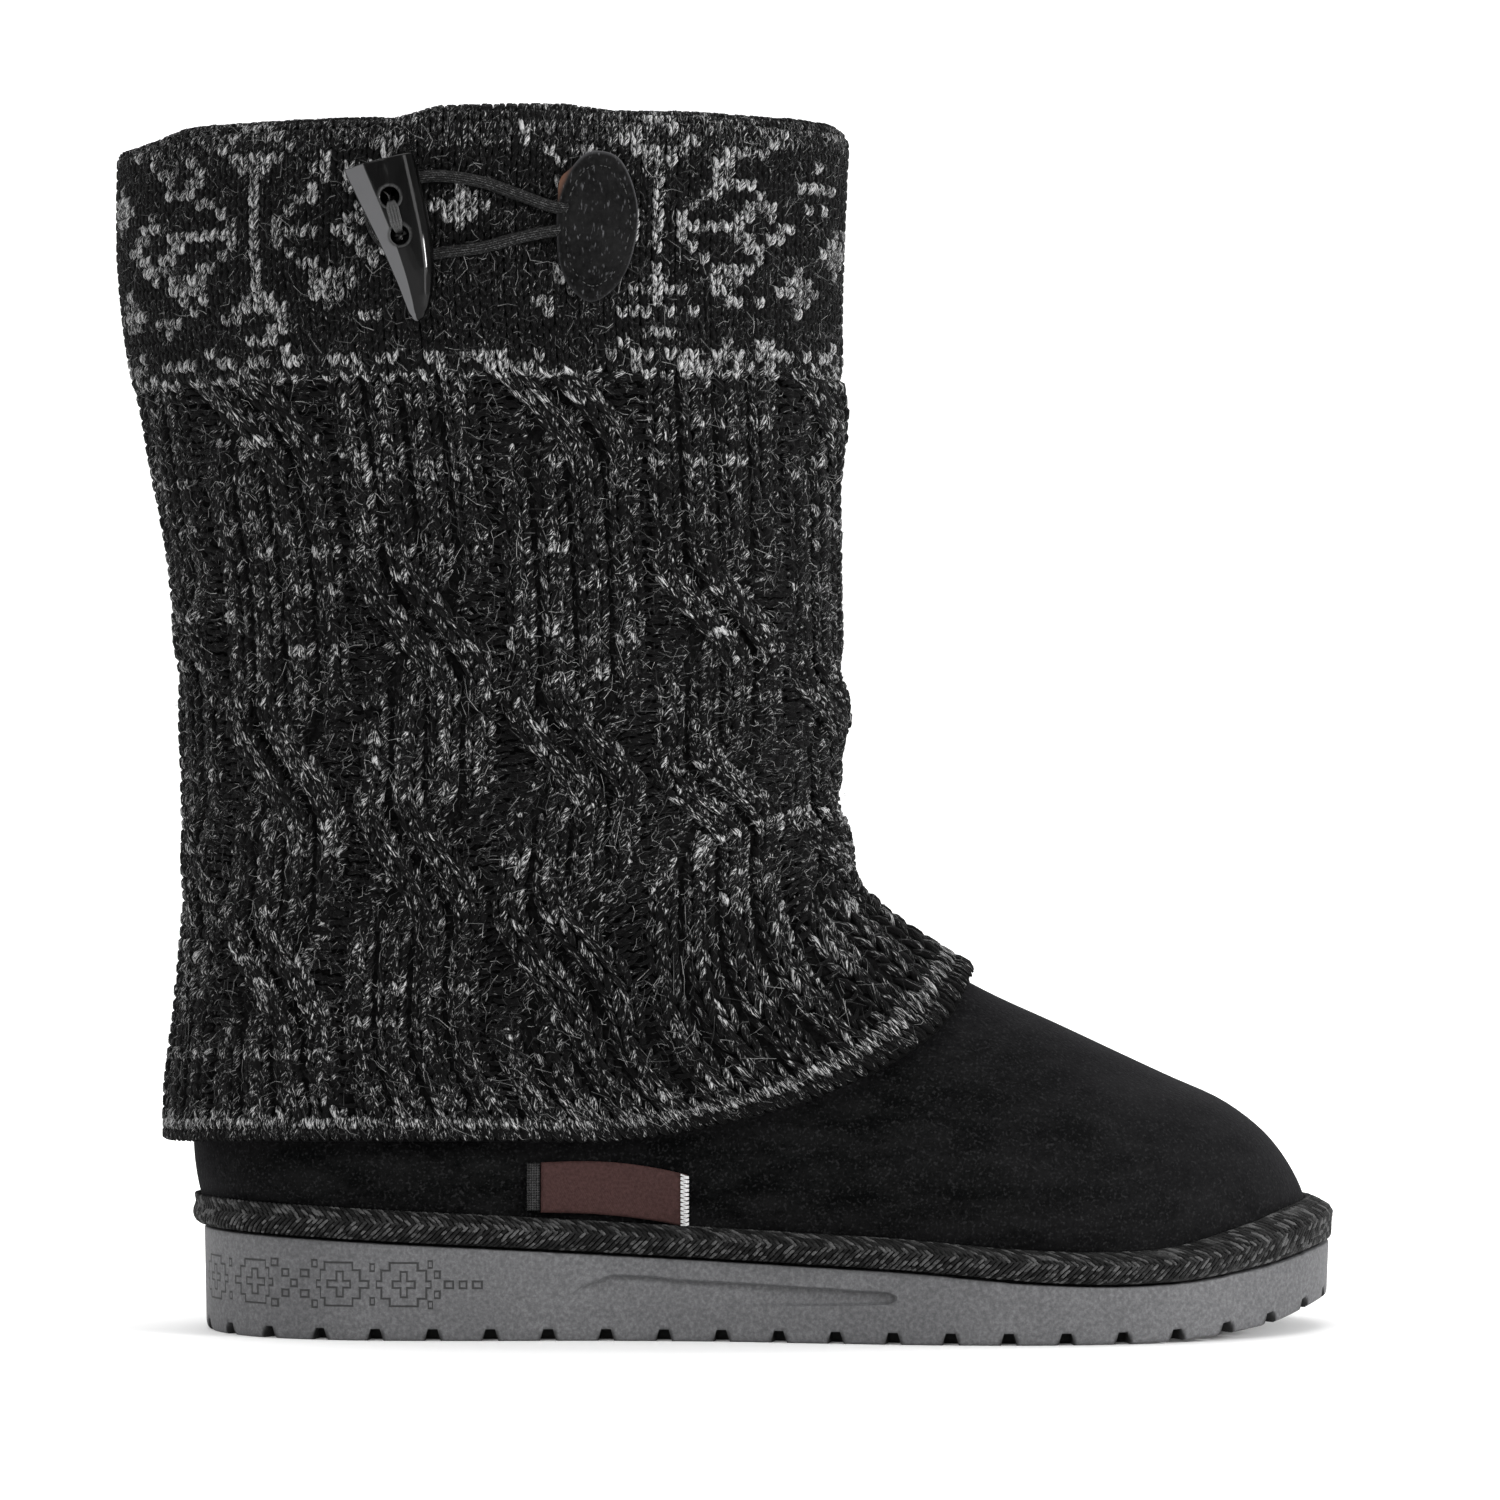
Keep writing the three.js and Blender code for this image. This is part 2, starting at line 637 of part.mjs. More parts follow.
// The knitted sleeve: over the outside of the shaft, over the collar and a little way inside it.
function knitSleeve() {
  const rings = [];
  const place = (t, down, stand) => upperOffset(t, rowAtHeight(t, courseHeight(t, down)), stand);
  const bodyCourses = Array.from({ length: bodyRows }, (_, i) => 1 - (i / bodyRows) * (1 - cuffShare));
  const cuffCourses = Array.from({ length: cuffRows + 1 }, (_, i) => cuffShare * (1 - i / cuffRows));
  const courses = [...bodyCourses, ...cuffCourses];
  for (const down of courses) {
    rings.push(ring(knitSteps, (t) => {
      const relief = cableRelief(t, down);
      return place(t, down, sleeveStand(t, down) + knitThickness + relief);
    }));
  }
  const wallMiddle = -upperWall / 2;
  const overFold = (t, radius, angle) => {
    const p = place(t, 0, wallMiddle + radius * Math.cos(angle));
    p.z = courseHeight(t, 0) + radius * Math.sin(angle);
    return p;
  };
  const outerRadius = upperWall / 2 + clearance + facetPlay + knitThickness;
  const innerRadius = upperWall / 2 + clearance + facetPlay;
  const turnedRadius = innerRadius + turnedThickness;
  for (const turn of [0.25, 0.5, 0.75]) {
    const radius = THREE.MathUtils.lerp(outerRadius, turnedRadius, turn);
    rings.push(ring(knitSteps, (t) => overFold(t, radius, turn * Math.PI)));
  }
  const inward = (depth, stand) => {
    rings.push(ring(knitSteps, (t) => {
      const z = courseHeight(t, 0) - depth;
      const p = upperOffset(t, rowAtHeight(t, z), wallMiddle - stand);
      p.z = z;
      return p;
    }));
  };
  inward(0, turnedRadius);
  inward(turnDepth, turnedRadius + facetPlay);
  inward(turnDepth, innerRadius + facetPlay);
  inward(0, innerRadius);
  for (const turn of [0.66, 0.33]) {
    rings.push(ring(knitSteps, (t) => overFold(t, innerRadius, turn * Math.PI)));
  }
  for (let row = topRow; row >= lowestLevelRow; row -= 1) {
    rings.push(ring(knitSteps, (t) => upperOffset(t, row, clearance + facetPlay)));
  }
  for (const down of [0.56, 0.64, 0.72, 0.79, 0.86, 0.93, 1]) {
    rings.push(ring(knitSteps, (t) => place(t, down, sleeveStand(t, down))));
  }
  return ringMesh(rings, true);
}

// A point on the outside of the flat cuff, on the outer side, standing off by a distance.
function onCuff(x, z, stand) {
  const { t, row } = outerSide(x, z);
  return upperOffset(t, row, clearance + facetPlay + knitThickness + stand);
}

// Sections of the horn from its cut top to its tip.
const toggleSections = [
  { along: 0, width: 1, depth: 0.92, bow: 0 },
  { along: 0.12, width: 0.955, depth: 0.97, bow: 0.012 },
  { along: 0.3, width: 0.86, depth: 1, bow: 0.03 },
  { along: 0.5, width: 0.735, depth: 0.94, bow: 0.045 },
  { along: 0.7, width: 0.58, depth: 0.8, bow: 0.045 },
  { along: 0.86, width: 0.41, depth: 0.6, bow: 0.03 },
  { along: 0.95, width: 0.27, depth: 0.42, bow: 0.012 },
  { along: 1, width: 0.1, depth: 0.16, bow: 0 },
];
const toggleHoles = [0.235, 0.475]; // shares of its length
const toggleStandoff = clearance + cordDiameter + clearance + toggleDepth / 2;

// The middle of the horn at a share of its length, and its direction.
const toggleAxis = new THREE.Vector3(Math.sin(toggleLean), 0, -Math.cos(toggleLean));
const toggleAcross = new THREE.Vector3(Math.cos(toggleLean), 0, Math.sin(toggleLean));

function togglePoint(along, across = 0) {
  const middle = onCuff(
    toggleTop.x + toggleAxis.x * toggleLength * 0.5,
    collarHeight - toggleTop.below + toggleAxis.z * toggleLength * 0.5,
    toggleStandoff,
  );
  return middle
    .addScaledVector(toggleAxis, (along - 0.5) * toggleLength)
    .addScaledVector(toggleAcross, across);
}

function toggle() {
  const sides = 16;
  const rings = toggleSections.map(({ along, width, depth, bow }) =>
    ring(sides, (t) => {
      const angle = -t * 2 * Math.PI;
      const p = togglePoint(along, bow * toggleLength + (Math.cos(angle) * width * toggleWidth) / 2);
      p.y += (Math.sin(angle) * depth * toggleDepth) / 2;
      return p;
    }),
  );
  let horn = toSolid(ringMesh(rings, false));
  for (const along of toggleHoles) {
    const hole = new THREE.CylinderGeometry(toggleHoleRadius, toggleHoleRadius, toggleDepth * 2, 12);
    const centre = togglePoint(along, toggleHoleShift);
    hole.translate(centre.x, centre.y, centre.z);
    horn = horn.subtract(toSolid(hole));
  }
  return fromSolid(horn);
}
const toggleHoleShift = 0.6;

// A round tube along a smooth curve.
function tube(points, diameter, sides, steps) {
  const section = new THREE.Shape(new THREE.EllipseCurve(0, 0, diameter / 2, diameter / 2).getPoints(sides).slice(1));
  const path = new THREE.CatmullRomCurve3(points, false, "centripetal");
  return new THREE.ExtrudeGeometry(section, { steps, extrudePath: path, bevelEnabled: false });
}

// Thread through both holes, with a bar across the front of the horn.
function toggleThread() {
  const front = -(toggleDepth / 2 + clearance + threadDiameter / 2);
  const behind = toggleStandoff - clearance - threadDiameter / 2;
  const [upperHole, lowerHole] = toggleHoles.map((along) => togglePoint(along, toggleHoleShift));
  const offset = (p, y) => new THREE.Vector3(p.x, p.y + y, p.z);
  const points = [
    offset(upperHole, behind),
    offset(upperHole, 0),
    offset(upperHole, front * 0.8),
    offset(upperHole.clone().lerp(lowerHole, 0.16), front),
    offset(upperHole.clone().lerp(lowerHole, 0.5), front),
    offset(upperHole.clone().lerp(lowerHole, 0.84), front),
    offset(lowerHole, front * 0.8),
    offset(lowerHole, 0),
    offset(lowerHole, behind),
  ];
  return tube(points, threadDiameter, 6, 20);
}

// The elastic cord's route on the cuff, from one end under the patch around behind the horn.
// out is a share of the way from the patch's centre to the loop's end, up of the loop's spread.
const cordRoute = [
  { out: 0.062, up: 0.231 },
  { out: 0.194, up: 0.209 },
  { out: 0.363, up: 0.374 },
  { out: 0.518, up: 0.527 },
  { out: 0.684, up: 0.604 },
  { out: 0.797, up: 0.582 },
  { out: 0.91, up: 0.495 },
  { out: 0.977, up: 0.319 },
  { out: 1, up: 0.099 },
  { out: 0.977, up: -0.121 },
  { out: 0.91, up: -0.308 },
  { out: 0.797, up: -0.396 },
  { out: 0.684, up: -0.363 },
  { out: 0.518, up: -0.297 },
  { out: 0.335, up: -0.154 },
  { out: 0.185, up: -0.077 },
  { out: 0.062, up: -0.066 },
];
const patchHeightUp = collarHeight - patchCentre.below;
const loopReach = patchCentre.x - toggleTop.x + cordPastToggle;

function cordPoints() {
  return cordRoute.map(({ out, up }) =>
    onCuff(patchCentre.x - out * loopReach, patchHeightUp + up * cordSpread, clearance + cordDiameter / 2),
  );
}

// The oval patch: domed, with a channel where the ends of the cord go under it.
function patch() {
  const rounds = [1, 1, 0.86, 0.5];
  const sides = 24;
  const place = (t, share, stand) => {
    const angle = t * 2 * Math.PI;
    const u = (Math.cos(angle) * share * patchWidth) / 2;
    const v = (Math.sin(angle) * share * patchHeight) / 2;
    const x = patchCentre.x + u * Math.cos(patchLean) + v * Math.sin(patchLean);
    const z = patchHeightUp - u * Math.sin(patchLean) + v * Math.cos(patchLean);
    return onCuff(x, z, stand);
  };
  const lift = (share) => patchEdge + (patchDome - patchEdge) * (1 - share * share);
  const rings = rounds.map((share, i) => ring(sides, (t) => place(t, share, clearance + (i ? lift(share) : 0))));
  const body = toSolid(ringMesh(rings, false));
  return fromSolid(body.subtract(toSolid(tube(cordPoints(), cordDiameter + 2 * clearance, 8, cordSteps))));
}

// A thin piece that lies on the suede: a grid of places (x, z), with a thickness.
function surfacePiece(columns, rows, place, stand, thickness) {
  const side = (off) =>
    Array.from({ length: rows + 1 }, (_, j) =>
      Array.from({ length: columns + 1 }, (_, i) => {
        const { x, z } = place(i / columns, j / rows);
        const at = outerSide(x, z);
        return upperOffset(at.t, at.row, off);
      }),
    );
  const inner = side(stand);
  const outer = side(stand + thickness);
  const rings = Array.from({ length: columns + 1 }, (_, i) => [
    ...inner.map((row) => row[i]),
    ...outer.map((row) => row[i]).reverse(),
  ]);
  return ringMesh(rings, false);
}

function seamTape() {
  const place = (u, v) => ({ x: seamX - tapeWidth * (1 - u), z: THREE.MathUtils.lerp(seamLow, seamHigh, v) });
  return surfacePiece(2, 5, place, clearance, tapeThickness);
}

// The ribbon label starts beside the seam, arched along its top, and its free end droops.
function label() {
  const arch = 2.2;
  const place = (u, v) => {
    const bottom = seamLow - 0.4 - u * labelWidth * Math.tan(labelDroop) + arch * 0.4 * Math.sin(u * Math.PI);
    const height = labelHeight + arch * 0.35 * Math.sin(u * Math.PI * 0.8);
    return { x: seamX + clearance + u * labelWidth, z: bottom + v * height };
  };
  return surfacePiece(9, 4, place, clearance + 0.2, labelThickness);
}

const finishes = {
  rubber: { color: 0x59595c, roughness: 0.75 },
  tape: { color: 0x303033, roughness: 0.85 },
  suede: { color: 0x111112, roughness: 0.95 },
  fleece: { color: 0x2b2a2a, roughness: 1 },
  knit: { color: 0x1f1f21, roughness: 1 },
  horn: { color: 0x050505, roughness: 0.15 },
  cord: { color: 0x1c1c1e, roughness: 0.8 },
  ribbon: { color: 0x3a2a28, roughness: 0.6 },
};

const boot = new THREE.Group();

function addPiece(name, geometry, finish) {
  const material = new THREE.MeshStandardMaterial({ ...finishes[finish], metalness: 0 });
  const mesh = new THREE.Mesh(geometry, material);
  mesh.name = name;
  boot.add(mesh);
}

addPiece("outsole", outsole(), "rubber");
addPiece("binding", binding(), "tape");
addPiece("upper", upper(), "suede");
addPiece("insole", insole(), "fleece");
addPiece("knit_sleeve", knitSleeve(), "knit");
addPiece("toggle", toggle(), "horn");
addPiece("toggle_thread", toggleThread(), "cord");
addPiece("cord_loop", tube(cordPoints(), cordDiameter, 8, cordSteps), "cord");
addPiece("patch", patch(), "suede");
addPiece("seam_tape", seamTape(), "tape");
addPiece("label", label(), "ribbon");

export default boot;
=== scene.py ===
# Winter boot: the look of a right boot with a suede foot, a cable-knit sleeve and a horn toggle.
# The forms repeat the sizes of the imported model, in millimetres.
import math
import bpy
import numpy as np
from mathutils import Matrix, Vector


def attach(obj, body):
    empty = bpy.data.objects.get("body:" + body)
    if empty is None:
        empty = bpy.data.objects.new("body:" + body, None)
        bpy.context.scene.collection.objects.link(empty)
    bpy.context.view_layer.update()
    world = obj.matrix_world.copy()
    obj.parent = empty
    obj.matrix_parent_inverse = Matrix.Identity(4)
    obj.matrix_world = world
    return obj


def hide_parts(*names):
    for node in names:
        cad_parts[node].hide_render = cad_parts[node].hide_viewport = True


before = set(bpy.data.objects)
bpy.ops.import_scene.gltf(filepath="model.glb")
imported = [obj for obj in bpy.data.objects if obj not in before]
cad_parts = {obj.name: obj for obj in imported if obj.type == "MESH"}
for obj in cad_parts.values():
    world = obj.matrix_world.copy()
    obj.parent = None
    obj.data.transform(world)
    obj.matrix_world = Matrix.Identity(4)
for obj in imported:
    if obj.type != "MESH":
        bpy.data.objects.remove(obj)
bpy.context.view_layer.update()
rng = np.random.default_rng(7)
plainSection = [205, 130, 50, -25]  # angles over the top of a plain strand, in degrees

boot = {
    "soleLength": 270, "ballWidth": 100, "heelToOrigin": 35,
    "heelThickness": 24.5, "ballThickness": 13.4, "toeThickness": 10.8, "toeSpring": 9.8,
    "toeTuck": 0.22, "tuckSpan": (0.8, 0.9),
    "wall": 2.6, "clearance": 0.3, "facetPlay": 0.25,
    "instepHeight": 108.5, "collarHeight": 279.5, "collarRise": 3, "ankleReach": 149,
    "shaftLength": 166, "shaftWidth": 92.4,
    "hemHeight": 45.4, "hemLift": 37.5, "hemFlare": 3.2, "sleeveEase": 0.9,
}
soleBack = -boot["heelToOrigin"]

# Outline of the sole: shares of its length, and of the ball's width on both sides
soleOutline = [
    (0.018, 0.17, 0.17), (0.06, 0.292, 0.29), (0.13, 0.365, 0.362), (0.23, 0.385, 0.37),
    (0.35, 0.38, 0.34), (0.46, 0.402, 0.336), (0.56, 0.455, 0.38), (0.65, 0.494, 0.448),
    (0.74, 0.5, 0.494), (0.83, 0.458, 0.498), (0.9, 0.372, 0.452), (0.952, 0.26, 0.365),
    (0.986, 0.125, 0.235),
]
# Side of the sole: share of the length, part of the heel, part of the toe, part of the spring
soleProfile = np.array([
    (0, 1, 0, 0), (0.2, 0.8, 0, 0), (0.42, 0.53, 0, 0), (0.62, 0.3, 0, 0),
    (0.76, 0.03, 0, 0), (0.86, 0, 0.07, 0.07), (0.94, 0, 0.5, 0.42), (1, 0, 1, 1),
])
# Slices of the foot: height, back, front, width, how much of the shaft's oval, how close to the sole
footSlices = [
    (0.228, 0.022, 0.974, 0.868, 0, 1), (0.253, 0.009, 0.978, 0.905, 0, 0.85),
    (0.286, 0, 0.979, 0.932, 0, 0.65), (0.332, -0.005, 0.973, 0.946, 0, 0.45),
    (0.392, -0.008, 0.958, 0.936, 0, 0.25), (0.447, -0.0085, 0.937, 0.897, 0.02, 0.1),
    (0.502, -0.008, 0.904, 0.846, 0.08, 0), (0.553, -0.0074, 0.859, 0.802, 0.17, 0),
    (0.608, -0.0067, 0.81, 0.766, 0.28, 0), (0.673, -0.006, 0.754, 0.738, 0.42, 0),
    (0.737, -0.0056, 0.698, 0.722, 0.58, 0), (0.802, -0.0048, 0.65, 0.717, 0.74, 0),
    (0.876, -0.0037, 0.605, 0.724, 0.88, 0), (0.95, -0.0022, 0.571, 0.738, 0.97, 0),
]
# Slices of the shaft: height, reach to the back and to the front, width
shaftSlices = [
    (0.02, 0.899, 0.004, 0.818), (0.096, 0.9, -0.004, 0.836), (0.22, 0.906, -0.004, 0.866),
    (0.395, 0.92, 0, 0.9), (0.57, 0.952, -0.001, 0.937), (0.746, 0.984, -0.004, 0.97),
    (0.874, 0.996, -0.001, 0.987), (1, 0.995, 0.005, 1),
]


def lerp(a, b, t):
    return a + (b - a) * t


def smooth(value, low, high):
    t = np.clip((value - low) / (high - low), 0, 1)
    return t * t * (3 - 2 * t)


def rowValue(values, row):
    # a soft curve through evenly spaced values
    values = np.asarray(values, float)
    last = len(values) - 1
    held = np.clip(row, 0, last)
    first = np.minimum(np.floor(held).astype(int), last - 1)
    at = lambda k: values[np.clip(k, 0, last)]
    t = held - first
    slopeIn = (at(first + 1) - at(first - 1)) / 2
    slopeOut = (at(first + 2) - at(first)) / 2
    a = 2 * at(first) - 2 * at(first + 1) + slopeIn + slopeOut
    b = 3 * at(first + 1) - 3 * at(first) - 2 * slopeIn - slopeOut
    return ((a * t + b) * t + slopeIn) * t + at(first)


def alongValue(share, column):
    stops = soleProfile[:, 0]
    row = np.interp(np.clip(share, 0, 1), stops, np.arange(len(stops)))
    return rowValue(soleProfile[:, column], row)


def alongSole(x):
    # share of the sole's length, from the heel
    return (x - soleBack) / boot["soleLength"]


def soleTop(x):
    heel, toe = alongValue(alongSole(x), 1), alongValue(alongSole(x), 2)
    high = boot["toeThickness"] + boot["toeSpring"]
    return heel * boot["heelThickness"] + toe * high + (1 - heel - toe) * boot["ballThickness"]


def soleBottom(x):
    tuck = 1 - boot["toeTuck"] * smooth(alongSole(x), *boot["tuckSpan"])
    return np.maximum(0, alongValue(alongSole(x), 3)) * boot["toeSpring"] * tuck


def closedCurve(points, fine=60):
    # a closed centripetal curve through points, as a table by arc length
    p = np.asarray(points, float)
    before, after, later = np.roll(p, 1, 0), np.roll(p, -1, 0), np.roll(p, -2, 0)
    gap = lambda a, b: np.sqrt(np.linalg.norm(b - a, axis=1))[:, None]
    d0, d1, d2 = gap(before, p), gap(p, after), gap(after, later)
    t1 = ((p - before) / d0 - (after - before) / (d0 + d1) + (after - p) / d1) * d1
    t2 = ((after - p) / d1 - (later - p) / (d1 + d2) + (later - after) / d2) * d1
    c2 = -3 * p + 3 * after - 2 * t1 - t2
    c3 = 2 * p - 2 * after + t1 + t2
    w = np.linspace(0, 1, fine, endpoint=False)[:, None]
    path = np.concatenate([p[i] + w * t1[i] + w**2 * c2[i] + w**3 * c3[i] for i in range(len(p))])
    return arcTable(np.vstack([path, path[:1]]))


def arcTable(path):
    run = np.concatenate([[0], np.cumsum(np.linalg.norm(np.diff(path, axis=0), axis=1))])
    return {"share": run / run[-1], "path": path, "length": run[-1]}


def arcPoint(table, t):
    t = np.mod(t, 1)
    return tuple(np.interp(t, table["share"], table["path"][:, k]) for k in range(2))


outerEdge = [(a * boot["soleLength"], -o * boot["ballWidth"]) for a, o, i in soleOutline]
innerEdge = [(a * boot["soleLength"], i * boot["ballWidth"]) for a, o, i in reversed(soleOutline)]
toeTip = (boot["soleLength"], 0.055 * boot["ballWidth"])
footCurve = closedCurve([(0, 0), *outerEdge, toeTip, *innerEdge])
angles = np.linspace(math.pi, 3 * math.pi, 1201)
ovalCurve = arcTable(np.stack([
    np.cos(angles) * boot["shaftLength"] / 2, np.sin(angles) * boot["shaftWidth"] / 2], 1))


def planPoint(t, oval):
    footX, footY = arcPoint(footCurve, t)
    roundX, roundY = arcPoint(ovalCurve, t)
    along = lerp(footX / boot["soleLength"], 0.5 + roundX / boot["shaftLength"], oval)
    return along, lerp(footY / boot["ballWidth"], roundY / boot["shaftWidth"], oval)


def outlinePoint(t, inset=0):
    # a point of the sole's outline, pushed in by a distance
    x, y = arcPoint(footCurve, t)
    ahead, behind = arcPoint(footCurve, t + 0.0012), arcPoint(footCurve, t - 0.0012)
    dx, dy = ahead[0] - behind[0], ahead[1] - behind[1]
    size = np.hypot(dx, dy)
    return soleBack + x - dy / size * inset, y + dx / size * inset


def makeSlices():
    rows = [(h * boot["instepHeight"], soleBack + b * boot["soleLength"],
             soleBack + f * boot["soleLength"], w * boot["ballWidth"], o, k, 0)
            for h, b, f, w, o, k in footSlices]
    front = soleBack + boot["ankleReach"]
    for h, b, f, w in shaftSlices:
        z = lerp(boot["instepHeight"], boot["collarHeight"], h)
        rows.append((z, front - b * boot["shaftLength"], front + f * boot["shaftLength"],
                     w * boot["shaftWidth"], 1, 0, h * h * boot["collarRise"]))
    return np.array(rows)


slices = makeSlices()
topRow = len(slices) - 1


def upperPoint(t, row):
    # the outside of the suede: t runs around from the back, row up through the slices
    z, back, front, width, oval, follow, rise = (rowValue(slices[:, k], row) for k in range(7))
    along, across = planPoint(t, oval)
    x = lerp(back, front, along)
    sag = soleTop(x) + boot["clearance"] - slices[0, 0]
    return np.stack([x, across * width, z + sag * follow + along * rise], -1)


def upperNormal(t, row):
    around = upperPoint(t + 0.002, row) - upperPoint(t - 0.002, row)
    high, low = np.minimum(row + 0.02, topRow), np.maximum(row - 0.02, 0)
    normal = np.cross(around, upperPoint(t, high) - upperPoint(t, low))
    return normal / np.linalg.norm(normal, axis=-1, keepdims=True)


def rowAtHeight(t, z):
    t, z = np.broadcast_arrays(np.asarray(t, float), np.asarray(z, float))
    low, high = np.zeros(t.shape), np.full(t.shape, float(topRow))
    for _ in range(18):
        middle = (low + high) / 2
        under = upperPoint(t, middle)[..., 2] < z
        low, high = np.where(under, middle, low), np.where(under, high, middle)
    return (low + high) / 2


def outerSide(x, z):
    # the place on the outer side of the suede with a given x and z
    back, front = np.full(np.shape(x), 0.03), np.full(np.shape(x), 0.47)
    for _ in range(18):
        middle = (back + front) / 2
        under = upperPoint(middle, rowAtHeight(middle, z))[..., 0] < x
        back, front = np.where(under, middle, back), np.where(under, front, middle)
    t = (back + front) / 2
    return t, rowAtHeight(t, z)


# Meshes

def makePiece(name, points, faces, nodes=(), look=None):
    # a mesh object in metres that rides with the boot
    mesh = bpy.data.meshes.new(name)
    points = np.asarray(points, np.float32).reshape(-1, 3) * 0.001
    mesh.vertices.add(len(points))
    mesh.vertices.foreach_set("co", points.ravel())
    sizes = np.concatenate([np.full(len(f), f.shape[1]) for f in faces])
    mesh.loops.add(int(sizes.sum()))
    corners = np.concatenate([f.ravel() for f in faces])
    mesh.loops.foreach_set("vertex_index", corners.astype(np.int32))
    mesh.polygons.add(len(sizes))
    mesh.polygons.foreach_set("loop_start", (np.cumsum(sizes) - sizes).astype(np.int32))
    mesh.update(calc_edges=True)
    mesh.validate()
    mesh.polygons.foreach_set("use_smooth", np.full(len(mesh.polygons), True))
    piece = bpy.data.objects.new(name, mesh)
    bpy.context.collection.objects.link(piece)
    if look:
        mesh.materials.append(look)
    if nodes:
        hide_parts(*nodes)
    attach(piece, "root")
    return piece


def gridFaces(rows, columns, closed=True, start=0):
    # quads of a grid whose rows are rings (closed) or strips
    across = np.arange(columns if closed else columns - 1)
    i, j = (g.ravel() for g in np.meshgrid(np.arange(rows - 1), across, indexing="ij"))
    nextJ = (j + 1) % columns
    return start + np.stack([i * columns + j, i * columns + nextJ,
                             (i + 1) * columns + nextJ, (i + 1) * columns + j], 1)


def ladderPoints(ringPoints, rungs):
    # points that fill a closed ring from side to side, in strips
    count = len(ringPoints)
    left, right = ringPoints[: count // 2 + 1], ringPoints[-np.arange(count // 2 + 1) % count]
    w = np.linspace(0, 1, rungs + 1)[:, None, None]
    return lerp(left[None], right[None], w)


def setValues(piece, name, values):
    layer = piece.data.attributes.new(name, "FLOAT", "POINT")
    layer.data.foreach_set("value", np.asarray(values, np.float32).ravel())


def setUv(piece, name, perVertex):
    # a UV map from one pair of numbers for each vertex
    layer = piece.data.uv_layers.new(name=name)
    loops = np.empty(len(piece.data.loops), np.int32)
    piece.data.loops.foreach_get("vertex_index", loops)
    layer.data.foreach_set("uv", np.asarray(perVertex, np.float32)[loops].ravel())


# Materials

class Look:
    # a node material: colours and numbers go in as sockets or plain values
    def __init__(self, name):
        self.material = bpy.data.materials.new(name)
        self.material.use_nodes = True
        self.tree = self.material.node_tree
        self.tree.nodes.clear()
        self.surface = self.add("ShaderNodeBsdfPrincipled")
        end = self.add("ShaderNodeOutputMaterial")
        self.tree.links.new(self.surface.outputs[0], end.inputs[0])

    def add(self, kind, outlet=None, settings=None, **sockets):
        node = self.tree.nodes.new(kind)
        for key, value in (settings or {}).items():
            setattr(node, key, value)
        for key, value in sockets.items():
            self.put(node, key.replace("_", " "), value)
        return node.outputs[outlet] if outlet is not None else node

    def put(self, node, socket, value):
        # a socket goes by its name, or by its number as i0, i1 and so on
        number = socket[1:] if socket[0] == "i" else ""
        place = node.inputs[int(number) if number.isdigit() else socket]
        if isinstance(value, bpy.types.NodeSocket):
            self.tree.links.new(value, place)
        else:
            place.default_value = value

    def math(self, operation, a, b=0.0, c=0.0, clamp=False):
        node = self.add("ShaderNodeMath", settings={"operation": operation, "use_clamp": clamp})
        for k, value in enumerate((a, b, c)):
            self.put(node, "i%d" % k, value)
        return node.outputs[0]

    def plus(self, a, b):
        return self.math("ADD", a, b)

    def minus(self, a, b):
        return self.math("SUBTRACT", a, b)

    def times(self, a, b, clamp=False):
        return self.math("MULTIPLY", a, b, clamp=clamp)

    def scaled(self, value, factor, offset):
        return self.math("MULTIPLY_ADD", value, factor, offset)

    def weigh(self, a, partOfA, b, partOfB):
        return self.plus(self.times(a, partOfA), self.times(b, partOfB))

    def split(self, place):
        return self.add("ShaderNodeSeparateXYZ", Vector=place).outputs

    def noise(self, place, scale, detail=4.0, roughness=0.55):
        return self.add("ShaderNodeTexNoise", 0, Vector=place, Scale=scale, Detail=detail,
                        Roughness=roughness)

    def ramp(self, value, *stops):
        node = self.add("ShaderNodeValToRGB", Fac=value)
        ramp = node.color_ramp
        while len(ramp.elements) < len(stops):
            ramp.elements.new(0.5)
        for element, (place, tone) in zip(ramp.elements, stops):
            element.position = place
            element.color = (*tone, 1) if isinstance(tone, tuple) else (tone, tone, tone, 1)
        return node.outputs[0]

    def mix(self, share, a, b, kind="MIX"):
        node = self.add("ShaderNodeMix", settings={"data_type": "RGBA", "blend_type": kind})
        for k, value in ((0, share), (6, a), (7, b)):
            self.put(node, "i%d" % k, value)
        return node.outputs[2]

    def bump(self, height, distance, strength=1.0, over=None):
        node = self.add("ShaderNodeBump", Height=height, Distance=distance, Strength=strength)
        if over is not None:
            self.put(node, "Normal", over)
        return node.outputs[0]

    def objectPlace(self):
        return self.add("ShaderNodeTexCoord", "Object")

    def uvPlace(self, name):
        return self.add("ShaderNodeUVMap", 0, settings={"uv_map": name})

    def value(self, name):
        return self.add("ShaderNodeAttribute", "Fac", settings={"attribute_name": name})

    def vector(self, operation, outlet=0, **sockets):
        return self.add("ShaderNodeVectorMath", outlet, settings={"operation": operation}, **sockets)

    def stretch(self, place, x, y, z=1.0):
        return self.vector("MULTIPLY", i0=place, i1=(x, y, z))

    def finish(self, **sockets):
        for key, value in sockets.items():
            self.put(self.surface, key.replace("_", " "), value)
        return self.material


def grey(level):
    return (level, level, level, 1)


# Surfaces that carry small work: a grid of places with its outward direction

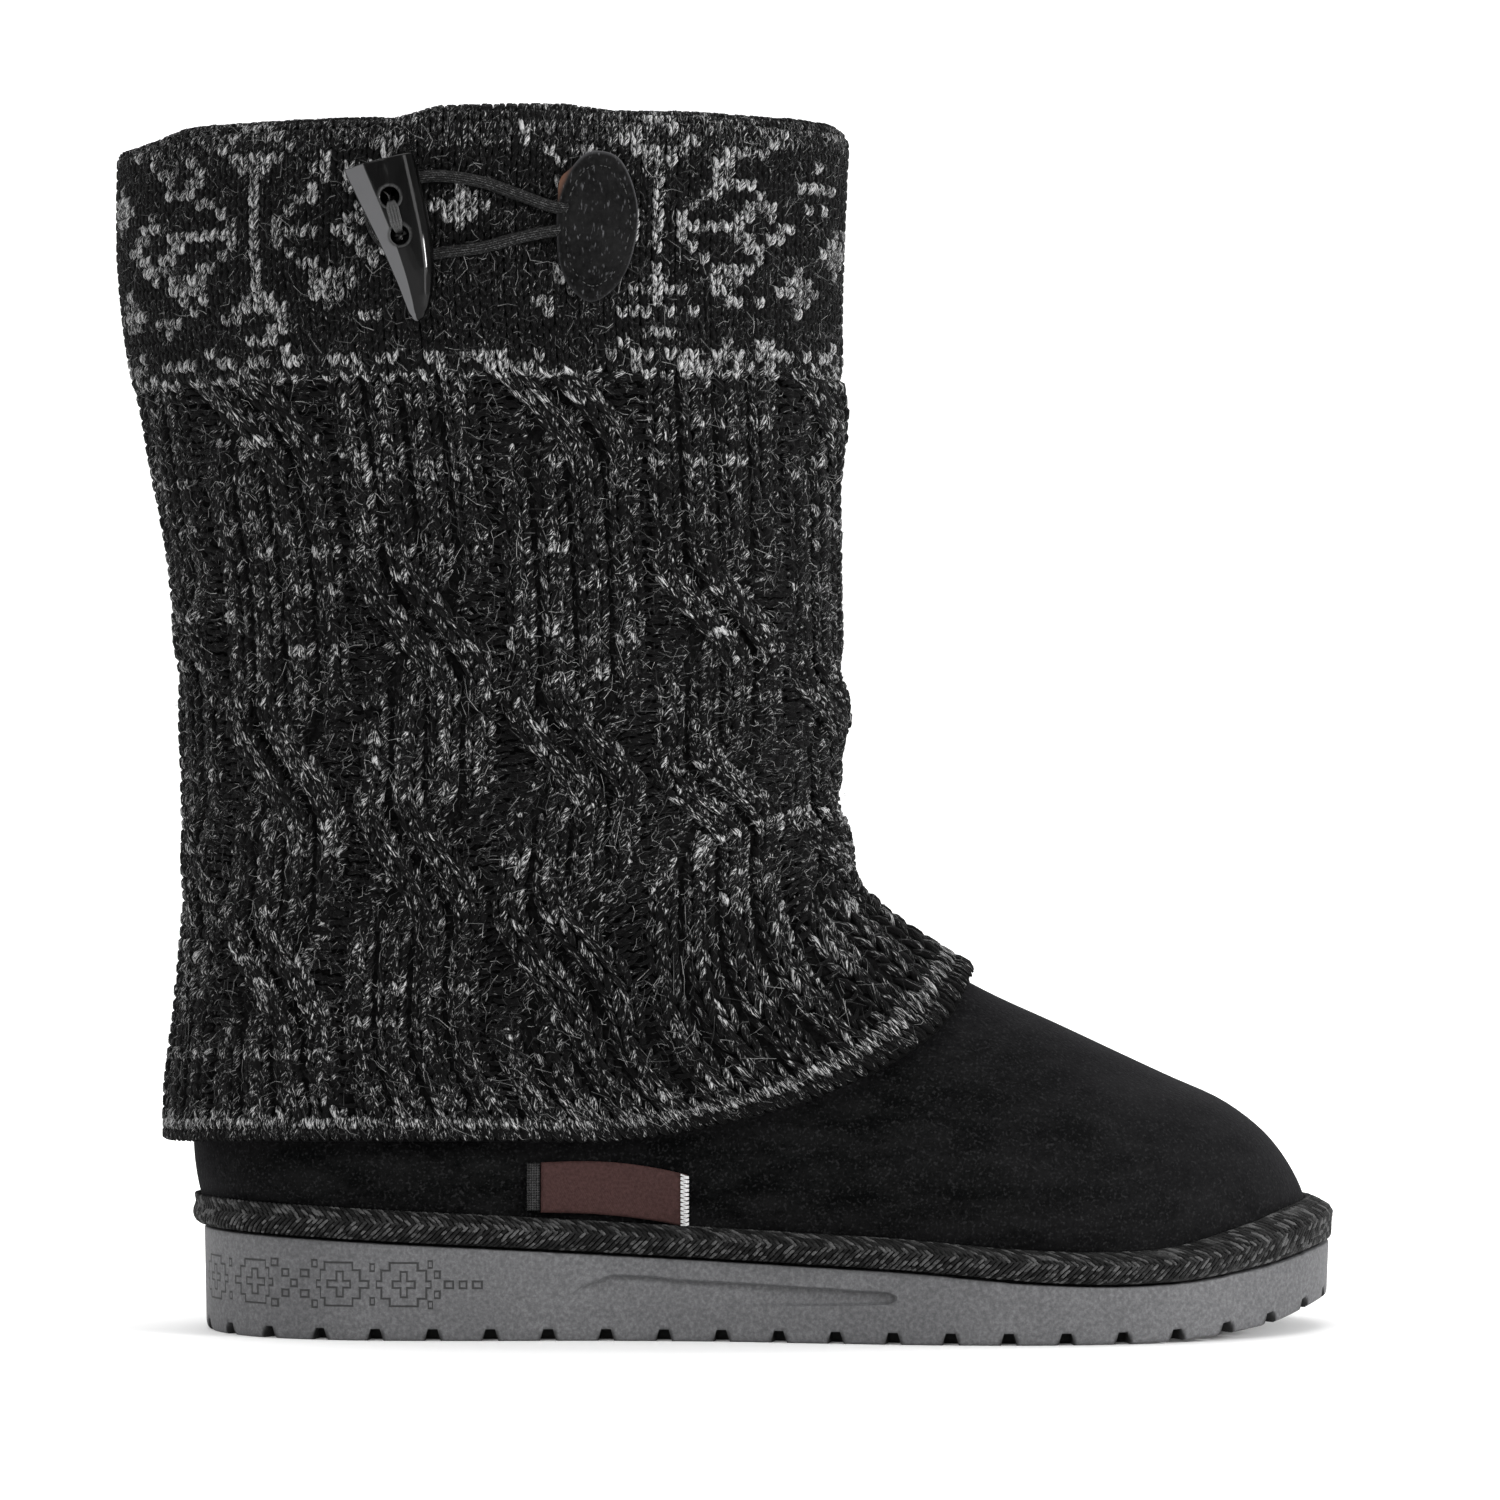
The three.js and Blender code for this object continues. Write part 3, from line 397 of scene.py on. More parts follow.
class Cloth:
    def __init__(self, points):
        # rows run down the cloth, columns around it; the grid is closed around
        self.points = points
        around = np.roll(points, -1, 1) - np.roll(points, 1, 1)
        down = np.gradient(points, axis=0)
        normal = np.cross(down, around)
        self.normals = normal / np.maximum(np.linalg.norm(normal, axis=2, keepdims=True), 1e-9)

    def at(self, t, row, stand=0.0):
        # t is the share around, row the place down the grid
        rows, columns = self.points.shape[:2]
        c = np.mod(t, 1) * columns
        c0 = np.floor(c).astype(int)
        r = np.clip(row, 0, rows - 1.001)
        r0 = np.floor(r).astype(int)
        wc, wr = (c - c0)[..., None], (r - r0)[..., None]
        c0, c1 = c0 % columns, (c0 + 1) % columns

        def blend(grid):
            top = lerp(grid[r0, c0], grid[r0, c1], wc)
            return lerp(top, lerp(grid[r0 + 1, c0], grid[r0 + 1, c1], wc), wr)
        normal = blend(self.normals)
        normal = normal / np.linalg.norm(normal, axis=-1, keepdims=True)
        return blend(self.points) + normal * np.asarray(stand)[..., None], normal


def strands(centres, normals, wide, high, section, tones):
    # plump strands along rows of points, as a part for strandPiece; section holds angles over the top
    ahead = np.gradient(centres, axis=1)
    ahead = ahead / np.maximum(np.linalg.norm(ahead, axis=-1, keepdims=True), 1e-9)
    side = np.cross(normals, ahead)
    side = side / np.maximum(np.linalg.norm(side, axis=-1, keepdims=True), 1e-9)
    turn, shape = np.radians(section)[:, None], centres.shape[:2]
    across = side[:, :, None] * (np.cos(turn) * np.broadcast_to(wide, shape)[..., None, None])
    lift = normals[:, :, None] * (np.sin(turn) * np.broadcast_to(high, shape)[..., None, None])
    points = centres[:, :, None] + across + lift
    count, steps, sides = points.shape[:3]
    one = gridFaces(steps, sides, closed=False)[:, ::-1]
    faces = one[None] + (np.arange(count) * steps * sides)[:, None, None]
    return points.reshape(-1, 3), faces.reshape(-1, 4), tones, steps, sides


def strandPiece(name, parts, look):
    # one piece from parts: points, faces, tone of each strand, steps and sides
    points, faces, tones, maps, numbers, start, total = [], [], [], [], [], 0, 0
    for p, f, tone, steps, sides in parts:
        count = len(p) // (steps * sides)
        points.append(p)
        faces.append(f + start)
        tones.append(np.repeat(tone, steps * sides))
        numbers.append(np.repeat(np.arange(total, total + count), steps * sides))
        along, across = np.meshgrid(np.linspace(0, 1, steps), np.linspace(0, 1, sides), indexing="ij")
        maps.append(np.tile(np.stack([across.ravel(), along.ravel()], 1), (count, 1)))
        start, total = start + len(p), total + count
    maps, numbers = np.concatenate(maps), np.concatenate(numbers)
    piece = makePiece(name, np.concatenate(points), [np.concatenate(faces)], (), look)
    setValues(piece, "tone", np.concatenate(tones))
    setUv(piece, "strand", maps)
    # every strand gets its own small cell of the OFBake map, with an edge left free
    wide, free = math.ceil(math.sqrt(total)), 0.08
    cell = np.stack([numbers % wide, numbers // wide], 1)
    setUv(piece, "OFBake", (cell + free + (1 - 2 * free) * maps) / wide)


# Outsole

outsole = {
    "lugPitch": 13.5, "firstNotch": 0.66, "notchWidth": 3.7, "notchDepth": 2.8, "notchReach": 6,
    "notchSlope": 0.26, "slopeFade": 3, "cutGap": 0.02, "fill": 10,
    "innerRing": 6.8, "bottomInset": 1.3, "sideInset": 0.45, "bottomRound": 0.1,
    # rows of the soft top edge: how far in and how far down
    "topEdge": [(1.2, 0), (0.2, 0.06), (0.04, 0.275)],
    # rows under the notches' top: steps, where the lugs end, where the notches rise, how much painted shade
    # darkens them
    "lowSteps": (0.15, 0.3, 0.42, 0.52, 0.6, 0.78, 0.9, 1), "lugEnd": 0.6, "notchRise": (0.62, 0.9),
    "notchPaintedShade": (0.5, 0.85, 1, 1, 1, 1, 1, 1), "underArc": 300,
    # the heel's thin lines: stepped crosses and small squares, from the back and off their middle height
    "lineWidth": 0.42, "lineHeight": 13.2, "motifs": [15.4, 31.8, 54.6, 69.8], "squareSide": 0.8,
    "crossBoxes": [(3.05, 5.07), (4.6, 3.3), (6.2, 0.8)], "plusBoxes": [(0.75, 2.95), (2.5, 0.8)],
    "squares": [(23.5, 3.9), (38.4, 4.75), (40.9, 2.4), (43.1, 0), (45.6, 2.4), (47.9, 4.75),
                (62.0, 3.95), (75.7, 4.75), (78.1, 2.35), (80.6, 0), (83.7, 0), (86.7, 0)],
    "scoopDepth": 1.8, "treadDepth": 2, "treadWidth": 4, "treadSweep": 4, "treadMargin": 12,
    "treads": [-0.75, 0.75, 2.25, 8.25, 9.75, 11.25, 12.75, 14.25],
    "grey": 0.1, "roughness": 0.62,
}
# Side scoop: share of the length, then its low and high edge as shares of the heel's thickness
scoopShape = np.array([
    (0.31, 0.32, 0.34), (0.335, 0.325, 0.5), (0.365, 0.33, 0.63), (0.43, 0.335, 0.59),
    (0.5, 0.345, 0.555), (0.56, 0.36, 0.525), (0.6, 0.375, 0.5), (0.611, 0.41, 0.465),
])


def scooping(x, z):
    share = alongSole(x)
    place = np.interp(share, scoopShape[:, 0], np.arange(len(scoopShape)))
    low = rowValue(scoopShape[:, 1], place) * boot["heelThickness"]
    high = rowValue(scoopShape[:, 2], place) * boot["heelThickness"]
    rise = np.clip((z - low) / (high - low), 0, 1)
    floor = lerp(rise, 1, 0.75 * smooth(share, 0.42, 0.56))
    edge = smooth(high - z, 0, 0.5) * smooth(z - low, 0, 0.7)
    ends = smooth(share, 0.31, 0.35) * smooth(0.613 - share, 0, 0.004)
    return outsole["scoopDepth"] * floor * edge * ends


def treading(x, y):
    # chevron grooves of the underside
    share = np.clip(alongSole(x), 0, 1)
    stops, outer, inner = np.array(soleOutline).T
    reach = np.minimum(np.interp(share, stops, outer), np.interp(share, stops, inner))
    half = np.maximum(reach * boot["ballWidth"] - outsole["treadMargin"], 1)
    lead = outsole["treadSweep"] * (1 - np.abs(y) / half)
    near = np.min([np.abs(x - place * outsole["lugPitch"] - lead) for place in outsole["treads"]], axis=0)
    inside, edge = smooth(half - np.abs(y), 0, 0.6), outsole["treadWidth"] / 2
    return outsole["treadDepth"] * inside * (1 - smooth(near, edge - 0.3, edge))


def makeOutsole(look):
    o, around = outsole, footCurve["length"]
    count = round(around / o["lugPitch"])
    pitch, half, gap = around / count, o["notchWidth"] / 2, o["cutGap"]
    lips = [-half - gap, -half + gap, -half / 2, 0, half / 2, half - gap, half + gap]
    lug = np.linspace(half + gap, pitch - half - gap, o["fill"] + 2)[1:-1]
    rel = np.concatenate([lips, lug])
    places = (((np.arange(count) + o["firstNotch"]) * pitch)[:, None] + rel).ravel()
    rel = np.tile(np.where(rel > pitch / 2, rel - pitch, rel), count)
    if len(places) % 2:
        places, rel = places[:-1], rel[:-1]
    off = np.abs(rel)
    inNotch = off < half
    lean = np.where(off <= half + 0.05, off / half, 1 - smooth(off, half, half + o["slopeFade"]))
    edgeX = outlinePoint(places / around)[0]
    low, high = soleBottom(edgeX), soleTop(edgeX)
    tall = high - low
    rows = []

    def addRow(height, inset, z):
        # the columns lean with the walls of the notches
        shift = o["notchSlope"] * np.minimum(height, o["notchDepth"]) * np.sign(rel) * lean
        x, y = outlinePoint((places - shift) / around, inset)
        rows.append(np.stack([x, y, z], 1))

    def sideInset(height):
        up = height / tall
        rounding = 1 - np.sqrt(1 - np.clip(1 - up / o["bottomRound"], 0, 1) ** 2)
        return o["sideInset"] * np.clip((1 - up) / 0.9, 0, 1) + (o["bottomInset"] - o["sideInset"]) * rounding

    for inset, drop in o["topEdge"]:
        addRow(tall - drop, inset, high - drop)
    spans = (np.linspace(1, 0.8, 4)[1:-1], np.linspace(0.8, 0.17, 36)[:-1], np.linspace(0.17, 0, 4))
    for part in np.concatenate(spans):
        height = o["notchDepth"] + part * (tall - o["notchDepth"])
        addRow(height, sideInset(height) + scooping(edgeX, low + height), low + height)
    rise, fall = o["notchRise"]
    for step in o["lowSteps"]:
        down = min(step / o["lugEnd"], 1)
        lugHeight = o["notchDepth"] * (1 - down)
        lugIn = max(step - o["lugEnd"], 0) / (1 - o["lugEnd"]) * (o["innerRing"] - o["bottomInset"])
        notchHeight = o["notchDepth"] * (1 - smooth(step, rise, fall))
        notchIn = max(step - fall, 0) / (1 - fall) * (o["innerRing"] - o["notchReach"])
        notchIn = lerp(sideInset(o["notchDepth"]), o["notchReach"], down) + notchIn
        height = np.where(inNotch, notchHeight, lugHeight)
        addRow(lugHeight, np.where(inNotch, notchIn, sideInset(lugHeight) + lugIn), low + height)
    points, faces = [np.concatenate(rows)], [gridFaces(len(rows), len(places))[:, ::-1]]
    start = edgePoints = len(points[0])
    for ringRow, rungs, under in ((rows[-1], 12, True), (rows[0], 4, False)):
        sheet = ladderPoints(ringRow, rungs)
        if under:
            x, y = sheet[1:-1, :, 0], sheet[1:-1, :, 1]
            sheet[1:-1, :, 2] = soleBottom(x) + treading(x, y)
        sheetFaces = gridFaces(*sheet.shape[:2], closed=False, start=start)
        faces.append(sheetFaces if under else sheetFaces[:, ::-1])
        points.append(sheet.reshape(-1, 3))
        start += len(points[-1])
    points = np.concatenate(points)
    piece = makePiece("outsole_rubber", points, faces, ["outsole"], look)
    arc = np.full(len(points), float(o["underArc"]))
    arc[:edgePoints] = np.tile(np.minimum(places, around - places), len(rows))
    setUv(piece, "side", np.stack([arc, points[:, 2]], 1))
    # painted shade: the low rows inside the notches get a value that darkens them as if in shade
    deep, paintedShadeRows = np.zeros(len(points)), np.zeros(len(rows))
    paintedShadeRows[-len(o["lowSteps"]):] = o["notchPaintedShade"]
    deep[:edgePoints] = (paintedShadeRows[:, None] * (off < half + 0.03)).ravel()
    setValues(piece, "deep", deep)


def heelLines(look):
    # 1 on the heel's thin lines, from boxes around each motif's middle
    arc, height = look.split(look.uvPlace("side"))[:2]

    def off(value, centre):
        return look.math("ABSOLUTE", look.minus(value, centre))

    def box(across, high, halfWide, halfHigh):
        return look.math("MAXIMUM", look.minus(across, halfWide), look.minus(high, halfHigh))

    def nearest(values):
        best = values[0]
        for value in values[1:]:
            best = look.math("MINIMUM", best, value)
        return best

    up = off(height, outsole["lineHeight"])
    middle = nearest([off(arc, centre) for centre in outsole["motifs"]])
    cross, plus = (nearest([box(middle, up, *size) for size in outsole[boxes]])
                   for boxes in ("crossBoxes", "plusBoxes"))
    side = outsole["squareSide"]
    marks = [box(off(arc, centre), off(up, high), side, side) for centre, high in outsole["squares"]]
    line = nearest([look.math("ABSOLUTE", value) for value in [cross, plus] + marks])
    half = outsole["lineWidth"] / 2
    return look.math("DIVIDE", look.minus(half * 1.5, line), half, clamp=True)


def rubberLook():
    look = Look("moulded rubber")
    place = look.objectPlace()
    pebble = look.noise(place, 1150, 3, 0.65)
    grain = look.noise(place, 480, 4, 0.6)
    broad = look.noise(place, 26, 3)
    g = outsole["grey"]
    tone = look.ramp(broad, (0.3, (g * 0.86, g * 0.86, g * 0.9)), (0.7, (g * 1.08, g * 1.08, g * 1.12)))
    speck = look.ramp(pebble, (0.35, 0.6), (0.5, 0.86), (0.67, 1.25))
    tone = look.mix(0.85, tone, speck, "MULTIPLY")
    # painted shade inside the notches, from the deep value
    tone = look.mix(look.times(look.value("deep"), 0.93), tone, grey(0.002))
    lines = heelLines(look)
    # painted shade: the engraved heel lines are darkened as if their grooves were in shade
    tone = look.mix(look.times(lines, 0.9), tone, grey(0.014))
    height = look.weigh(pebble, 0.5, grain, 0.8)
    rough = look.scaled(grain, 0.25, outsole["roughness"] - 0.1)
    carved = look.bump(look.minus(1.0, lines), 0.0003, 0.7)
    return look.finish(Base_Color=tone, Roughness=rough, Specular_IOR_Level=0.3,
                       Normal=look.bump(height, 0.00016, 0.8, over=carved))


makeOutsole(rubberLook())
print("outsole made")


# Binding: a padded roll of herringbone tape

binding = {
    "height": 7.4, "bulge": 2.4, "crest": 1.3, "columns": 760, "ring": 14,
    "toeHeight": 10.2, "toeBulge": 0.4, "toeSpan": (192, 230),
    # the roll from the sole up: part of the bulge, part of the height; then how it tucks in behind
    "stations": [(-0.3, 0.04), (0.7, 0.17), (1, 0.45), (0.72, 0.74)], "tuck": (0.82, 0.25),
    "floatPitch": 1.3, "rows": 10, "floatLength": 1.6, "floatWide": 0.4, "floatHigh": 0.26,
    "slant": 0.62, "rowShift": 0.37, "rowStep": 0.62, "section": [200, 125, 55, -20],
    "dark": 0.0035, "light": 0.034,
}


def makeBinding(baseLook, floatLook):
    b, columns = binding, binding["columns"]
    t = np.arange(columns) / columns
    edgeX = outlinePoint(t)[0]
    bottom = soleTop(edgeX) + boot["clearance"]
    toward = smooth(edgeX, *b["toeSpan"])
    tall, bulge = lerp(b["height"], b["toeHeight"], toward), lerp(b["bulge"], b["toeBulge"], toward)

    def against(up, stand):
        row = rowAtHeight(t, bottom + up)
        p = upperPoint(t, row) + upperNormal(t, row) * (boot["clearance"] + stand)
        p[:, 2] = bottom + up
        return p

    stations = [np.stack([*outlinePoint(t, -out * bulge), bottom + up * tall], 1)
                for out, up in b["stations"]]
    stations += [against(tall, b["crest"]), against(tall * b["tuck"][0], b["tuck"][1])]
    flow = np.linspace(0, len(stations) - 1, b["ring"])
    rings = np.stack([rowValue(np.array(stations), np.full(1, f))[0] for f in flow])
    sheet = Cloth(rings[::-1].copy())
    makePiece("binding_roll", rings.reshape(-1, 3), [gridFaces(b["ring"], columns)],
              ["binding"], baseLook)
    around = footCurve["length"]
    perRow = round(around / b["floatPitch"])
    w = np.linspace(-0.5, 0.5, 4)[None]
    arch = np.sqrt(np.maximum(1 - (1.7 * w) ** 2, 0.05))
    parts = []
    for row in range(b["rows"]):
        ringRow = b["ring"] - 1 - lerp(b["ring"] - 2.6, 2.0, row / (b["rows"] - 1))
        slant = b["slant"] if row < b["rows"] / 2 else -b["slant"]
        centre = (np.arange(perRow) + b["rowShift"] * row + rng.normal(0, 0.05, perRow)) / perRow
        tt = centre[:, None] + w * b["floatLength"] * math.cos(slant) / around
        rr = ringRow + w * b["floatLength"] * math.sin(slant) / b["rowStep"]
        middle, normal = sheet.at(tt, rr, 0.02 + 0.18 * arch)
        swell = (0.45 + 0.55 * arch) * rng.uniform(0.85, 1.1, (perRow, 1))
        parts.append(strands(middle, normal, b["floatWide"] * swell, b["floatHigh"] * swell,
                             b["section"], rng.uniform(0, 1, perRow)))
    strandPiece("binding_weave", parts, floatLook)


def tapeLooks():
    dark, light = binding["dark"], binding["light"]
    base = Look("tape ground")
    place = base.objectPlace()
    tone = base.ramp(base.noise(place, 900, 3), (0.35, dark * 0.5), (0.7, dark * 1.6))
    ground = base.finish(Base_Color=tone, Roughness=0.9, Specular_IOR_Level=0.05,
                         Normal=base.bump(base.noise(place, 1400, 3), 0.0002))
    floats = Look("tape yarn")
    place = floats.objectPlace()
    tone = floats.value("tone")
    fibre = floats.noise(floats.stretch(floats.uvPlace("strand"), 8, 2.2), 2.4, 3, 0.6)
    speck = floats.noise(place, 520, 2)
    mixed = floats.weigh(tone, 0.45, floats.plus(fibre, speck), 0.4)
    colour = floats.ramp(mixed, (0.44, dark), (0.68, light * 0.5), (0.84, light * 2.4))
    yarn = floats.finish(Base_Color=colour, Roughness=0.7, Specular_IOR_Level=0.15,
                         Normal=floats.bump(fibre, 0.0003, 0.6))
    return ground, yarn


makeBinding(*tapeLooks())
print("binding made")


# Upper: suede outside, fleece inside

upper = {
    "around": 240, "rows": 80, "footRows": (9, 12), "paintedLightSpan": (120, 215),
    "nap": 0.0042, "sheen": 0.035,
    # soft troughs in the suede: place along the sole's length, height, lean, length, depth
    "creases": [(0.50, 66, 0.5, 26, 0.9), (0.56, 58, 0.35, 22, 0.8), (0.64, 57, 0.3, 26, 0.6),
                (0.30, 62, -0.2, 30, 0.5), (0.12, 40, -0.3, 18, 0.5), (0.76, 43, 0.15, 26, 0.5)],
    "waves": 0.35,
    # the insole's edge: how far in and how far up from the sole
    "bed": [(0, 0.0), (0, 4.4), (0.5, 5.4), (1.6, 6.0), (6, 6.2)], "bedGap": 0.7, "bedHeight": 6.1,
    "bedColumns": 180, "bedRungs": 22, "liningColumns": 160, "liningRows": 74,
}


def softCreases(points):
    # how far the suede sinks at its creases, with a slow unevenness over it
    x, y, z = points[..., 0], points[..., 1], points[..., 2]
    sink = upper["waves"] * np.sin(x * 0.07 + 1.3 * np.sin(z * 0.05)) * np.sin(y * 0.05 + z * 0.04)
    for along, height, lean, length, depth in upper["creases"]:
        dx, dz = x - (soleBack + along * boot["soleLength"]), z - height
        run = (dx * math.cos(lean) + dz * math.sin(lean)) / (length / 2)
        off = -dx * math.sin(lean) + dz * math.cos(lean)
        sink = sink + depth * np.exp(-run ** 2 - (off / 3.2) ** 2)
        sink = sink - depth * 0.5 * np.exp(-run ** 2 - ((off - 5.5) / 3.5) ** 2)
    return sink


def makeUpper(suede):
    u = upper
    tt, rr = np.meshgrid(np.arange(u["around"]) / u["around"], np.linspace(0, topRow, u["rows"]))
    outside, normal = upperPoint(tt, rr), upperNormal(tt, rr)
    inside = outside - normal * boot["wall"]
    sink = softCreases(outside) * (1 - smooth(rr, *u["footRows"])) * smooth(rr, 0.5, 2)
    outside = outside - normal * sink[..., None]
    inside[[0, -1], :, 2] = outside[[0, -1], :, 2]
    rings = np.concatenate([outside, inside[::-1][::2], inside[:1], outside[:1]])
    piece = makePiece("upper_suede", rings.reshape(-1, 3), [gridFaces(len(rings), u["around"])],
                      ["upper"], suede)
    # painted light: the suede is lighter towards the toe, where light falls on it
    setValues(piece, "paintedToeLight", smooth(rings[..., 0], *u["paintedLightSpan"]))


def makeInsole(fleece):
    u, columns = upper, upper["bedColumns"]
    t = np.arange(columns) / columns
    edge, normal = upperPoint(t, 0 * t), upperNormal(t, 0 * t)
    bed = []
    for inset, up in u["bed"]:
        p = edge - normal * (boot["wall"] + u["bedGap"] + inset)
        p[:, 2] = soleTop(p[:, 0]) + boot["clearance"] + up
        bed.append(p)
    bed = np.array(bed)
    sheet, under = ladderPoints(bed[-1], u["bedRungs"]), ladderPoints(bed[0], 4)
    x, y = sheet[..., 0], sheet[..., 1]
    sheet[1:-1, :, 2] = soleTop(x[1:-1]) + boot["clearance"] + u["bedHeight"]
    sheet[..., 2] += 0.25 * np.sin(x * 0.9) * np.sin(y * 1.1 + x * 0.3)
    first = len(bed) * columns
    faces = [gridFaces(len(bed), columns), gridFaces(*sheet.shape[:2], False, first)[:, ::-1],
             gridFaces(*under.shape[:2], False, first + sheet.size // 3)]
    points = np.concatenate([bed.reshape(-1, 3), sheet.reshape(-1, 3), under.reshape(-1, 3)])
    makePiece("insole_fleece", points, faces, ["insole"], fleece)


def makeLining(fleece):
    # the lining stands a little off the wall and rolls softly
    columns = upper["liningColumns"]
    rows = np.linspace(0.7, topRow - 2.2, upper["liningRows"])
    tt, rr = np.meshgrid(np.arange(columns) / columns, rows)
    loft = np.sin(tt * 520 + 2.1 * np.sin(rr * 31)) * np.sin(rr * 57 + 1.7 * np.sin(tt * 333))
    depth = boot["wall"] + 0.15 + (0.5 + 0.28 * loft)
    lining = upperPoint(tt, rr) - upperNormal(tt, rr) * depth[..., None]
    edge = upperPoint(tt[:1], rr[:1]) - upperNormal(tt[:1], rr[:1]) * (boot["wall"] + 0.05)
    points = np.concatenate([edge, lining])[::-1]
    makePiece("lining_fleece", points.reshape(-1, 3), [gridFaces(len(points), columns)],
              (), fleece)


def suedeLook():
    look = Look("suede")
    place = look.objectPlace()
    nap = look.noise(place, 900, 3, 0.65)
    brush = look.noise(look.stretch(place, 60, 60, 160), 1.0, 4, 0.6)
    dust = look.noise(place, 1500, 2, 0.5)
    g = upper["nap"]
    tone = look.ramp(look.weigh(brush, 0.6, nap, 0.4), (0.4, (g * 0.12, g * 0.12, g * 0.13)),
                     (0.6, (g * 1.1, g * 1.1, g * 1.12)))
    # painted light towards the toe
    tone = look.mix(look.times(look.value("paintedToeLight"), 0.12), tone, (0.022, 0.022, 0.023, 1))
    fleck = look.ramp(dust, (0.55, 0.0), (0.7, 1.0))
    tone = look.mix(look.times(fleck, 0.3), tone, (0.034, 0.034, 0.035, 1))
    height = look.weigh(nap, 0.7, brush, 0.8)
    return look.finish(Base_Color=tone, Roughness=0.95, Specular_IOR_Level=0.03,
                       Sheen_Weight=upper["sheen"], Sheen_Roughness=0.55,
                       Sheen_Tint=(0.5, 0.5, 0.55, 1), Normal=look.bump(height, 0.00035, 0.8))


def fleeceLook():
    look = Look("fleece")
    place = look.objectPlace()
    curl = look.noise(place, 420, 5, 0.7)
    clump = look.noise(place, 120, 3, 0.6)
    tone = look.ramp(look.weigh(curl, 0.6, clump, 0.4), (0.36, 0.008), (0.66, 0.045))
    return look.finish(Base_Color=tone, Roughness=1.0, Specular_IOR_Level=0.05, Sheen_Weight=0.1,
                       Sheen_Roughness=0.6, Normal=look.bump(look.plus(curl, clump), 0.0012, 0.9))


suede, fleece = suedeLook(), fleeceLook()
makeUpper(suede)
makeInsole(fleece)
makeLining(fleece)
print("upper made")


# Knit sleeve

knit = {
    "thickness": 4.2, "turned": 3.0, "turnDepth": 25, "foldReach": 17, "cuffDepth": 53,
    "cuffStitches": 146, "cuffRows": 21.5, "foldRows": 7, "insideRows": 5,
    "repeats": 11, "phase": 0.74, "pull": 0.045, "wales": 8, "gutter": 0.3, "bodyRows": 61,
    # crossings from the cuff to the hem, for the two kinds of cable, which alternate
    "crossings": [[0.04, 0.51, 0.775], [0.33, 0.63]], "crossingLength": 0.11, "lastBeforeTwins": 5,
    "strandRelief": 1.5, "baseStand": 2.5, "bodyStand": 1.5, "standSpan": (0.222, 0.236), "ribGap": 0.24,
    "collarSwell": 2.3, "cornerDrop": 5.4, "clothColumns": 704, "groundColumns": 200, "groundRows": 80,
    # rows of the ground's inner side at the hem: share of the way down, lift
    "hemRows": [(1, 0.3), (0.98, 0), (0.95, 0), (0.92, 0)],
    # how a crossing spreads and stands: parts of a wale and millimetres
    "cable": {"spread": 0.3, "crown": 0.95, "crownWide": 0.8, "plump": 0.4, "plumpWide": 4.3, "sunk": 0.9,
              "over": 0.85, "under": -1.0, "bulge": 0.6, "bulgeWide": 2.2, "atBack": 0.35,
              "section": [210, 130, 50, -30]},
    # purl bumps: wales from the gutter, and how close to a crossing's middle they start
    "purls": [(-1.9, 0.65), (-1.15, 0.4), (-0.4, 0.12), (0.4, 0.12), (1.15, 0.4), (1.9, 0.65)],
    "purlWide": 0.66, "purlBend": 0.7, "foldTone": 0.26, "darkTone": 0.26, "lightTones": (0.45, 0.85),
    # cuff rows with a share of light stitches, and the tones of the hem's two courses
    "lightRows": [(19, 0.15), (20, 0.6), (21, 0.3)], "cuffSplit": 8, "edgeTones": [(0.34, 0.7), (0.0, 0.36)],
    "edgeStitches": 176, "edgeHigh": 2.5,
    "cuffLeg": {"wide": 0.8, "high": 0.75, "length": 1.5, "stand": 1.25, "open": 0.4},
    "bodyLeg": {"wide": 1.12, "high": 1.0, "length": 1.5, "stand": 1.2, "open": 0.42},
    "edgeLeg": {"wide": 0.85, "high": 0.75, "length": 1.45, "stand": 1.2, "open": 0.38},
    "dark": 0.0026, "mid": 0.015, "light": 0.46,
}
bodyLength = boot["collarHeight"] - boot["hemHeight"]
bodySpan = bodyLength - knit["cuffDepth"]
bodyRowHigh = (bodySpan - 2 * knit["edgeHigh"] + 0.6) / knit["bodyRows"]
waleWide = 1 / (knit["wales"] + knit["gutter"])
foldStart, sleeveTop, gridRows = 12, 24, 200  # rows of the cloth: to the fold, to its end, then down
legSteps = 4  # places along each leg of a stitch


def hemRise(t):
    along = planPoint(t, 0)[0]
    return boot["hemLift"] * np.clip((along - 0.38) / 0.62, 0, 1) ** 1.3


def courseHeight(t, down):
    top = boot["collarHeight"] + planPoint(t, 1)[0] * boot["collarRise"]
    return top - down * (top - boot["hemHeight"]) + hemRise(t) * smooth(down, 0.35, 1)


def waleTurn(share, down):
    # where the wales run on a course: they share out its length as the collar does, and at the
    # hem they keep a little to the back
    fine = 0.25 * (1 - np.cos(np.linspace(0, math.pi, 181)))
    share = np.mod(share, 1)
    along = planPoint(np.minimum(share, 1 - share), 1)[0]
    pull = knit["pull"] * smooth(down, 0.5, 1) * np.sin(math.pi * along)
    goal = along - pull * (1.6 - 1.4 * along)

    def found(side):
        reach = upperPoint(side, rowAtHeight(side, courseHeight(side, down)))[:, 0]
        return np.interp(goal, (reach - reach[0]) / (reach[-1] - reach[0]), side)
    return np.where(share < 0.5, found(fine), np.mod(found(1 - fine), 1))


def sleeveStand(t, down):
    backness = 1 - smooth(planPoint(t, 0.5)[0], 0.5, 0.95)
    flare = boot["hemFlare"] * backness * smooth(down, 0.78, 1)
    return boot["clearance"] + boot["facetPlay"] + boot["sleeveEase"] * smooth(down, 0.42, 0.6) + flare


